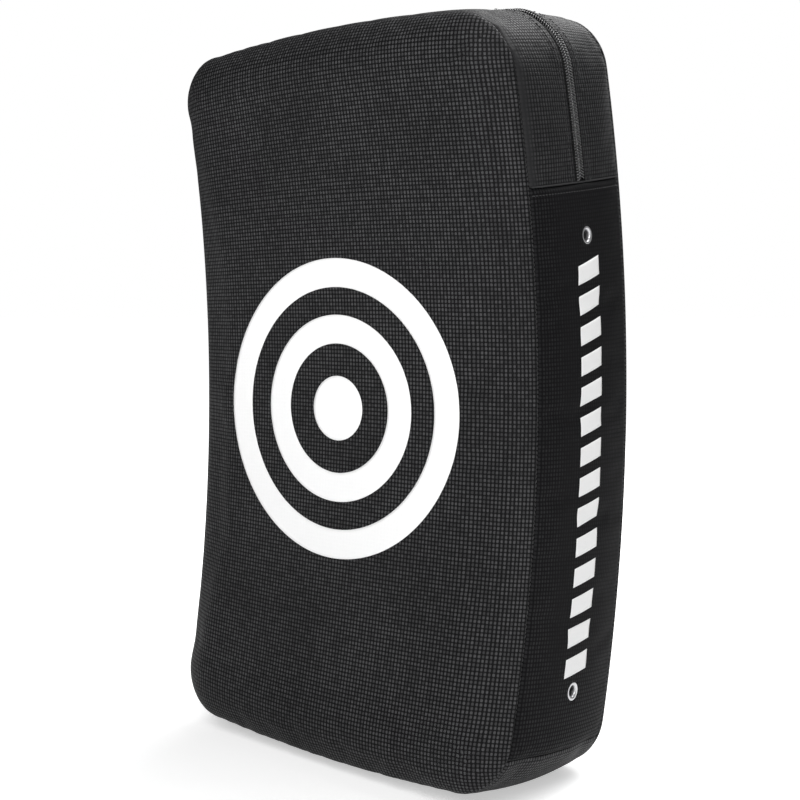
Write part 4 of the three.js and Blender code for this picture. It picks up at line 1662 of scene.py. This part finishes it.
class Prints:
    """Plain printed marks: a target of rings on the front, slanted bars up the right side."""

    RINGS = ((0.0, 27.0), (54.0, 78.0), (101.0, 125.0))
    CENTRE = -9.4 * MM
    FINE = 2.4 * MM
    BARS = 14
    BAR_TOP = 113 * MM
    BAR_BOTTOM = -203 * MM
    BAR_WIDTH = 31 * MM
    BAR_SHARE = 0.62
    BAR_SLANT = 7 * MM
    FILM = 0.22 * MM

    def __init__(self, shape: PadShape, panels: dict[Panel, bpy.types.Object], finishes: Finishes) -> None:
        """Keeps what the prints lie on.

        Args:
            shape: the pad's shape.
            panels: the cover's pieces.
            finishes: the shield's materials.
        """
        self.shape = shape
        self.panels = panels
        self.finishes = finishes

    def _film(
        self, name: str, panel: Panel, flat: np.ndarray, faces: list[tuple[int, ...]], aim: Vector,
        uvs: np.ndarray, ink: bpy.types.Material,
    ) -> None:
        """Lays a thin film on a panel.

        Args:
            name: the piece's name.
            panel: the panel that it is printed on.
            flat: points in front of the panel, in the row frame.
            faces: the film's faces.
            aim: the direction in which the points go to reach the panel.
            uvs: the cloth's directions at each point.
            ink: its finish.
        """
        body = self.panels[panel].data
        tree = BVHTree.FromPolygons([v.co for v in body.vertices], [tuple(p.vertices) for p in body.polygons])
        laid = []
        for point in flat:
            start = Vector(point) - aim * 0.12
            hit, _, _, _ = tree.ray_cast(start, aim)
            laid.append(hit - aim * (0.2 * self.FILM) if hit else start)
        corners = [tuple(uvs[k]) for face in faces for k in face]
        piece = Cloth(np.array([tuple(p) for p in laid]), faces, corners).make(name)
        thickened(piece, self.FILM, 1.0)
        piece.data.materials.append(ink)
        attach(piece, "pad")
        LOG.info("made %s, %d faces", name, len(piece.data.polygons))

    def target(self) -> None:
        """Prints the rings on the striking face."""
        points, faces = [], []
        for inner, outer in self.RINGS:
            around = max(24, round(2 * math.pi * outer * MM / self.FINE))
            radii = np.linspace(inner, outer, max(3, round((outer - inner) * MM / self.FINE) + 1)) * MM
            if inner == 0:
                radii = radii[1:]
            turn = np.linspace(0, 2 * math.pi, around, endpoint=False)
            start = len(points)
            for radius in radii:
                for angle in turn:
                    points.append((radius * math.cos(angle), self.CENTRE + radius * math.sin(angle)))
            ring = grid_faces(len(radii), around, closed=True, start=start)
            faces += [face[::-1] for face in ring]
            if inner == 0:
                points.append((0.0, self.CENTRE))
                hub = len(points) - 1
                faces += [(hub, start + k, start + (k + 1) % around) for k in range(around)]
        uvs = np.array(points)
        flat = self.shape.place(uvs[:, 0], uvs[:, 1], -self.shape.front_crown)
        self._film("front_target", Panel.FRONT, flat, faces, Vector((0, 1, 0)), uvs, self.finishes.face_ink)

    def bars(self) -> None:
        """Prints the slanted bars up the right side."""
        shape, columns, rows = self.shape, 14, 7
        step = (self.BAR_TOP - self.BAR_BOTTOM + self.BAR_SLANT) / self.BARS
        middle = shape.thickness / 2
        points, faces = [], []
        for bar in range(self.BARS):
            low = self.BAR_BOTTOM + bar * step
            start = len(points)
            for row in range(rows):
                for column in range(columns):
                    share = column / (columns - 1)
                    height = low - self.BAR_SLANT * (1 - share)
                    height += row / (rows - 1) * step * self.BAR_SHARE
                    points.append((middle + (share - 0.5) * self.BAR_WIDTH, height))
            faces += grid_faces(rows, columns, start=start)
        uvs = np.array(points)
        wide, _ = shape.half_sizes(uvs[:, 0] / shape.thickness)
        across = wide + shape.bulge(uvs[:, 0] / shape.thickness)
        flat = shape.place(across, uvs[:, 1], uvs[:, 0])
        self._film("side_bars", Panel.RIGHT, flat, faces, Vector((-1, 0, 0)), uvs, self.finishes.side_ink)


# ---- straps and grips --------------------------------------------------------------


@dataclass(frozen=True)
class Span:
    """Where an arched strap leaves its bands, and how it climbs between them."""

    low: float
    high: float
    shoulder: float
    top: float
    base: float = 2.3 * MM
    sharpness: float = 1.2

    def rise(self, height: np.ndarray) -> np.ndarray:
        """How far the strap stands off the back at a height."""
        share = np.clip((height - self.low) / (self.high - self.low), 0, 1)
        climb = np.minimum(1, (0.5 - np.abs(share - 0.5)) / self.shoulder)
        return self.base + self.top * np.sin(climb * math.pi / 2) ** self.sharpness


class Carry:
    """The back's webbing bands, arm straps with their pads, and hand grips with their sleeves."""

    BANDS = {"lower": -155 * MM, "middle": 0.0, "upper": 155 * MM}
    BAND_LENGTH = 264 * MM
    BAND_WIDTH = 40 * MM
    WEB = 2 * MM
    STRAP_PLACE = 96 * MM
    STRAP_WIDTH = 58 * MM
    STRAP_SPAN = Span(-135 * MM, 135 * MM, 0.37, 68 * MM)
    STRAP_END = 38 * MM
    PAD_WIDTH = 66 * MM
    PAD_THICKNESS = 9 * MM
    PAD_REACH = 78 * MM
    PAD_CHANNELS = (-39 * MM, 0.0, 39 * MM)
    GRIP_WIDTH = 25 * MM
    GRIP_SHOULDER = 0.32
    GRIP_RISE = 50 * MM
    GRIP_END = 17 * MM
    SLEEVE_SIZES = (15 * MM, 12 * MM)
    SLEEVE_REACH = 34 * MM
    BOX_INSET = 5 * MM
    PADDING = Stuffing(start_inside=0.6 * MM, cap=1.2 * MM)

    def __init__(self, shape: PadShape, finishes: Finishes) -> None:
        """Keeps what the straps are built from.

        Args:
            shape: the pad's shape.
            finishes: the shield's materials.
        """
        self.shape = shape
        self.finishes = finishes
        self.sewing = Sewing()

    def frames(self, across: np.ndarray, height: np.ndarray, rise: Callable) -> tuple[np.ndarray, np.ndarray]:
        """Points of a strap's line up the back, and the directions away from the back.

        Args:
            across: to the right of the middle.
            height: up along the curve.
            rise: gives the line's height off the back.

        Returns:
            Points and directions.
        """
        step = 0.5 * MM
        point = self.shape.strap_line(across, height, rise(height))
        above = self.shape.strap_line(across, height + step, rise(height + step))
        below = self.shape.strap_line(across, height - step, rise(height - step))
        along = above - below
        away = np.stack([0 * along[..., 0], along[..., 2], -along[..., 1]], -1)
        return point, unit(away)

    def ribbon(
        self, name: str, node: str, across: float, width: float, heights: np.ndarray, rise: Callable
    ) -> None:
        """Makes a strip of webbing that runs up the back.

        Args:
            name: the piece's name.
            node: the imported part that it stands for.
            across: place of its middle.
            width: its width.
            heights: where its cross sections are.
            rise: gives its height off the back.
        """
        half, web = width / 2, self.WEB
        flat = np.linspace(-1, 1, 13)
        top = [(half * s, web * (1 - 0.10 * s**2) - 0.06 * MM * math.cos(s * 9)) for s in flat * 0.985]
        under = [(half * s, 0.12 * MM * s**2) for s in flat[::-1] * 0.985]
        edge = [(half, web * 0.68), (half, web * 0.3)]
        section = top + edge + under + [(-x, y) for x, y in edge[::-1]]
        rings = []
        for offset, lift in section:
            point, away = self.frames(np.full(len(heights), across + offset), heights, rise)
            rings.append(point + away * lift)
        piece = facing_out(embossed(tube(np.stack(rings, 1)), name))
        self._finish(piece, node, self.finishes.webbing)

    def _finish(self, piece: bpy.types.Object, node: str, material: bpy.types.Material) -> None:
        """Dresses a piece, lets it ride on the pad and names what it stands for.

        Args:
            piece: the object.
            node: the part that it stands for.
            material: its finish.
        """
        piece.data.materials.clear()
        piece.data.materials.append(material)
        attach(piece, "pad")
        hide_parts(node)
        LOG.info("made %s, %d faces", piece.name, len(piece.data.polygons))

    def build(self) -> None:
        """Makes every part of the back's webbing."""
        for level, height in self.BANDS.items():
            self._band(level, height)
        for hand in Hand:
            self._arm_strap(hand)
            self._arm_pad(hand)
        for level in ("upper", "lower"):
            self._grip(level)
        self.sewing.make("strap_stitching", self.finishes.strap_thread)

    def _band(self, level: str, height: float) -> None:
        """Makes one band across the back, with a row of stitches along each edge."""
        half = self.BAND_WIDTH / 2
        xs = np.linspace(-self.BAND_LENGTH / 2, self.BAND_LENGTH / 2, 67)
        flat = np.linspace(-1, 1, 9)
        top = [(half * s, self.WEB * (1 - 0.1 * s**2)) for s in flat * 0.98]
        section = top + [(half, self.WEB * 0.5)]
        section += [(half * s, 0.1 * MM) for s in flat[::-1] * 0.98] + [(-half, self.WEB * 0.5)]
        rings = []
        for offset, lift in section:
            point, away = self.frames(xs, np.full(len(xs), height + offset), lambda up: 0 * up)
            rings.append(point + away * lift)
        piece = facing_out(embossed(tube(np.stack(rings, 1)), "band_" + level))
        self._finish(piece, "anchor_band_" + level, self.finishes.webbing)
        for side in (-1, 1):
            up = np.full(len(xs), height + side * (half - 3 * MM))
            point, away = self.frames(xs[1:-1], up[1:-1], lambda up: 0 * up)
            self.sewing.run(point + away * self.WEB * 0.92, away)

    def _box(
        self, across: float, height: float, half_width: float, half_height: float, rise: Callable
    ) -> None:
        """Sews a box with a cross in it through a strap's end.

        Args:
            across: place of its middle.
            height: place of its middle.
            half_width: half its width.
            half_height: half its height.
            rise: gives the strap's height off the back.
        """
        corners = [(-1, -1), (1, -1), (1, 1), (-1, 1), (-1, -1), (1, 1)]
        legs = list(zip(corners, corners[1:])) + [((-1, 1), (1, -1))]
        for (x0, y0), (x1, y1) in legs:
            share = np.linspace(0.02, 0.98, 14)
            xs = across + half_width * (x0 + (x1 - x0) * share)
            ys = height + half_height * (y0 + (y1 - y0) * share)
            point, away = self.frames(xs, ys, rise)
            self.sewing.run(point + away * self.WEB * 0.95, away, pitch=3.2 * MM)

    def _arm_strap(self, hand: Hand) -> None:
        """Makes one arm strap."""
        span, end = self.STRAP_SPAN, self.STRAP_END
        heights = np.linspace(span.low - end, span.high + end, 120)
        across = hand.value * self.STRAP_PLACE
        name = "arm_strap_" + hand.word
        self.ribbon("strap_" + hand.word, name, across, self.STRAP_WIDTH, heights, span.rise)
        for middle in (span.low - end / 2, span.high + end / 2):
            half_width = self.STRAP_WIDTH / 2 - self.BOX_INSET
            self._box(across, middle, half_width, end / 2 - self.BOX_INSET, span.rise)
        reach = np.linspace(span.low + 2 * MM, span.high - 2 * MM, 100)
        for side in (-1, 1):
            line = across + side * (self.STRAP_WIDTH / 2 - 4 * MM)
            point, away = self.frames(np.full(len(reach), line), reach, span.rise)
            self.sewing.run(point + away * self.WEB * 0.93, away)

    def _arm_pad(self, hand: Hand) -> None:
        """Makes the soft pad under an arm strap, quilted into four."""
        rows, around = 66, 40
        heights = np.linspace(-self.PAD_REACH, self.PAD_REACH, rows)
        across = hand.value * self.STRAP_PLACE
        turn = np.linspace(0, 2 * math.pi, around, endpoint=False)
        half, thick = self.PAD_WIDTH / 2, self.PAD_THICKNESS / 2
        quilt = np.ones(rows)
        for channel in self.PAD_CHANNELS:
            quilt -= 0.42 * np.exp(-(((heights - channel) / (3.2 * MM)) ** 2))
        ends = np.clip((self.PAD_REACH - np.abs(heights)) / (7 * MM), 0, 1)
        closing = np.sqrt(1 - (1 - ends) ** 2)
        rings = np.zeros((rows, around, 3))
        for k, angle in enumerate(turn):
            side, up = math.cos(angle), math.sin(angle)
            wide = math.copysign(abs(side) ** 0.35, side)
            tall = math.copysign(abs(up) ** 0.75, up)
            reach = half * wide * (0.93 + 0.07 * closing) * (0.985 + 0.015 * quilt)
            plump = np.where(tall > 0, 0.82 + 0.18 * quilt, quilt)
            point, away = self.frames(across + reach, heights, self.STRAP_SPAN.rise)
            lift = -0.3 * MM - thick + thick * tall * (0.18 + 0.82 * closing) * plump
            rings[:, k] = point + away * lift[:, None]
        free = np.ones((rows, around))
        free[[0, 1, -2, -1]] = 0
        free[np.abs(quilt - 1) > 0.2] = 0
        free[:, np.sin(turn) > 0.2] = 0
        cloth = self._swelled(tube(rings), free)
        piece = facing_out(embossed(cloth, "arm_pad_" + hand.word))
        puff(piece, 0.5 * MM)
        smoothed(piece)
        self._finish(piece, "arm_strap_pad_" + hand.word, self.finishes.sleeve)

    def _swelled(self, cloth: Cloth, free: np.ndarray) -> Cloth:
        """Swells a small closed body over its own padding.

        Args:
            cloth: the body.
            free: 1 for each of its points that may move, 0 for one that is sewn or lies on webbing.

        Returns:
            The same body, swelled.
        """
        free = free.ravel()
        facing = 1 if self._faces_out(cloth) else -1
        faces = [face[::facing] for face in cloth.faces]
        swell = self.PADDING.swell(cloth.points, faces, free)
        out = normals_of(cloth.points, faces)
        cloth.points = cloth.points + out * self.PADDING.held_back(swell, free)[:, None]
        return cloth

    def _faces_out(self, cloth: Cloth) -> bool:
        """True if a closed body's faces point away from its middle."""
        out = normals_of(cloth.points, cloth.faces)
        return bool(np.einsum("ij,ij->i", cloth.points - cloth.points.mean(0), out).sum() > 0)

    def _grip(self, level: str) -> None:
        """Makes one hand grip: its tape and the padded sleeve round it."""
        inner = math.copysign(self.BAND_WIDTH / 2, self.BANDS[level])
        outer = self.BANDS[level] - inner
        span = Span(min(inner, outer), max(inner, outer), self.GRIP_SHOULDER, self.GRIP_RISE)
        heights = np.linspace(span.low - self.GRIP_END, span.high + self.GRIP_END, 90)
        self.ribbon("grip_web_" + level, "grip_tape_" + level, 0.0, self.GRIP_WIDTH, heights, span.rise)
        for middle in (span.low - self.GRIP_END / 2, span.high + self.GRIP_END / 2):
            self._box(0.0, middle, self.GRIP_WIDTH / 2 - 3 * MM, self.GRIP_END / 2 - 3 * MM, span.rise)
        self._sleeve(level, span)

    def _sleeve(self, level: str, span: Span) -> None:
        """Makes the soft sleeve round a grip's tape."""
        rows, around = 46, 36
        middle = (span.low + span.high) / 2
        heights = np.linspace(middle - self.SLEEVE_REACH, middle + self.SLEEVE_REACH, rows)
        turn = np.linspace(0, 2 * math.pi, around, endpoint=False)
        half_width, half_depth = self.SLEEVE_SIZES
        ends = np.clip((self.SLEEVE_REACH - np.abs(heights - middle)) / (9 * MM), 0, 1)
        girth = 0.86 + 0.14 * np.sqrt(1 - (1 - ends) ** 2)
        hole_width, hole_depth = self.GRIP_WIDTH / 2 + 0.4 * MM, self.WEB / 2 + 0.4 * MM
        outside, inside = np.zeros((rows, around, 3)), np.zeros((rows, around, 3))
        for k, angle in enumerate(turn):
            side, up = math.cos(angle), math.sin(angle)
            point, away = self.frames(half_width * side * girth, heights, span.rise)
            outside[:, k] = point + away * (self.WEB / 2 + half_depth * up * girth)[:, None]
            wide = hole_width * math.copysign(abs(side) ** 0.5, side)
            tall = hole_depth * math.copysign(abs(up) ** 0.5, up)
            point, away = self.frames(np.full(rows, wide), heights, span.rise)
            inside[:, k] = point + away * (self.WEB / 2 + tall)
        loops = np.concatenate([outside, inside[::-1]])
        faces = grid_faces(len(loops), around, closed=True)
        last = (len(loops) - 1) * around
        for k in range(around):
            beside = (k + 1) % around
            faces.append((last + k, last + beside, beside, k))
        girth_line = 2 * math.pi * (half_width + half_depth) / 2
        uvs = []
        for face in faces:
            for point in face:
                row, column = divmod(point, around)
                uvs.append((column / around * girth_line, row * 2 * self.SLEEVE_REACH / rows))
        cloth = Cloth(loops.reshape(-1, 3), faces, uvs)
        piece = facing_out(embossed(cloth, "grip_sleeve_" + level + "_soft"))
        puff(piece, 0.5 * MM)
        smoothed(piece)
        self._finish(piece, "grip_sleeve_" + level, self.finishes.sleeve)
        sewn = heights[4:-4]
        point, away = self.frames(np.zeros(len(sewn)), sewn, span.rise)
        self.sewing.run(point + away * (self.WEB / 2 + half_depth), away)


def embossed(cloth: Cloth, name: str) -> bpy.types.Object:
    """Makes a piece of a cloth whose emboss is full all over."""
    cloth.emboss = np.ones(len(cloth.points))
    return cloth.make(name)


def puff(piece: bpy.types.Object, amount: float) -> None:
    """Gives a soft piece slight, slow unevenness.

    Args:
        piece: the object.
        amount: the most that a point moves, in metres.
    """
    mesh = piece.data
    places = points_of(mesh)
    normals = np.zeros(3 * len(mesh.vertices), np.float32)
    mesh.vertices.foreach_get("normal", normals)
    wave = np.sin(places[:, 0] * 190 + places[:, 2] * 130) * np.sin(places[:, 2] * 210 - places[:, 1] * 160)
    places -= normals.reshape(-1, 3) * (amount * (0.5 + 0.5 * wave))[:, None]
    mesh.vertices.foreach_set("co", places.astype(np.float32).ravel())
    mesh.update()


# ---- studio ------------------------------------------------------------------------


@dataclass(frozen=True)
class Lamp:
    """A square soft light."""

    name: str
    place: tuple[float, float, float]
    size: float
    power: float

    def build(self, target: Vector) -> None:
        """Makes the light, aimed at a point."""
        light = bpy.data.lights.new(self.name, "AREA")
        light.size = self.size
        light.energy = self.power
        lamp = bpy.data.objects.new(self.name, light)
        lamp.location = self.place
        lamp.rotation_mode = "QUATERNION"
        lamp.rotation_quaternion = (target - lamp.location).to_track_quat("-Z", "Y")
        bpy.context.scene.collection.objects.link(lamp)


@dataclass(frozen=True)
class Studio:
    """Camera, floor and lights."""

    azimuth: float = math.radians(41.39)
    elevation: float = math.radians(2.07)
    distance: float = 1084.8 * MM
    lens: float = 57.17
    shift: tuple[float, float] = (0.0379, -0.065)
    target: tuple[float, float, float] = (16.6 * MM, -85.4 * MM, 358.3 * MM)
    surround: float = 0.1
    floor_glow: float = 0.5
    lamps: tuple[Lamp, ...] = (
        Lamp("key_light", (0.72, -1.4, 1.25), 1.0, 24.0),
        Lamp("top_light", (0.3, 0.7, 2.0), 1.5, 44.0),
        Lamp("back_light", (-0.8, 2.4, 1.3), 1.5, 22.0),
    )

    def build(self) -> None:
        """Makes the camera, the floor and the lights."""
        self._camera()
        self._floor()
        self._surround()
        for lamp in self.lamps:
            lamp.build(Vector(self.target))

    def _camera(self) -> None:
        """Makes the camera."""
        az, el = self.azimuth, self.elevation
        toward = Vector((-math.sin(az) * math.cos(el), math.cos(az) * math.cos(el), -math.sin(el)))
        data = bpy.data.cameras.new("camera")
        data.lens = self.lens
        data.sensor_width = 36.0
        data.shift_x, data.shift_y = self.shift
        data.clip_start = 0.05
        data.dof.use_dof = False
        camera = bpy.data.objects.new("camera", data)
        camera.rotation_mode = "QUATERNION"
        camera.rotation_quaternion = toward.to_track_quat("-Z", "Y")
        camera.location = Vector(self.target) - toward * self.distance
        bpy.context.scene.collection.objects.link(camera)
        bpy.context.scene.camera = camera

    def _floor(self) -> None:
        """Makes a pale floor that fades into the pale surround."""
        turn = np.linspace(0, 2 * math.pi, 96, endpoint=False)
        radii = (0.3, 0.8, 2.0, 6.0, 30.0)
        rings = [np.stack([r * np.cos(turn), r * np.sin(turn), 0 * turn - 0.2 * MM], -1) for r in radii]
        faces = [face[::-1] for face in grid_faces(len(radii), len(turn), closed=True)]
        faces.append(tuple(range(len(turn))))
        floor = Cloth(np.concatenate(rings), faces).make("floor")
        graph = Graph("pale_floor")
        place = graph.place()
        length = graph.add("ShaderNodeVectorMath", operation="LENGTH")
        graph.join(place, length.inputs[0])
        fade = graph.ramp(length.outputs["Value"], 0.25, 0.9, 0.0, 1.0)
        grain = graph.noise(place, 300.0)
        seen = graph.add("ShaderNodeLightPath").outputs["Is Camera Ray"]
        floor.data.materials.append(
            graph.dress(
                Base_Color=graph.mix(
                    graph.ramp(grain, 0.0, 1.0, 0.0, 1.0), (0.86, 0.86, 0.86), (0.9, 0.9, 0.9)
                ),
                Roughness=0.9,
                Specular_IOR_Level=0.1,
                Emission_Color=graph.mix(fade, (0.5, 0.5, 0.5), (1.0, 1.0, 1.0)),
                Emission_Strength=graph.math("MULTIPLY_ADD", seen, 1 - self.floor_glow, self.floor_glow),
            )
        )

    def _surround(self) -> None:
        """Lights the shield dimly from all round and shows white behind it."""
        world = bpy.data.worlds.new("surround")
        world.use_nodes = True
        tree = world.node_tree
        background = tree.nodes["Background"]
        path = tree.nodes.new("ShaderNodeLightPath")
        level = tree.nodes.new("ShaderNodeMapRange")
        tree.links.new(path.outputs["Is Camera Ray"], level.inputs["Value"])
        level.inputs["To Min"].default_value = self.surround
        level.inputs["To Max"].default_value = 1.0
        background.inputs["Color"].default_value = (1.0, 1.0, 1.0, 1.0)
        tree.links.new(level.outputs[0], background.inputs["Strength"])
        bpy.context.scene.world = world
        bpy.context.scene.view_settings.view_transform = "Standard"


def main() -> None:
    """Builds the shield's looks, one sub-assembly after another."""
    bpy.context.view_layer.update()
    finishes = Finishes()
    Studio().build()
    shape = PadShape()
    panels = Cover(shape, finishes).build()
    Zip(shape, finishes).build()
    for hand in Hand:
        for level, height in zip(("upper", "lower"), Cover.EYELET_HEIGHTS):
            Eyelet().build(shape, hand, level, height, finishes)
    prints = Prints(shape, panels, finishes)
    prints.target()
    prints.bars()
    Carry(shape, finishes).build()
    for name, foam in finishes.foams.items():
        dress_node(name, foam)


if __name__ == "__main__":
    logging.basicConfig(level=logging.INFO, format="%(message)s")
    main()
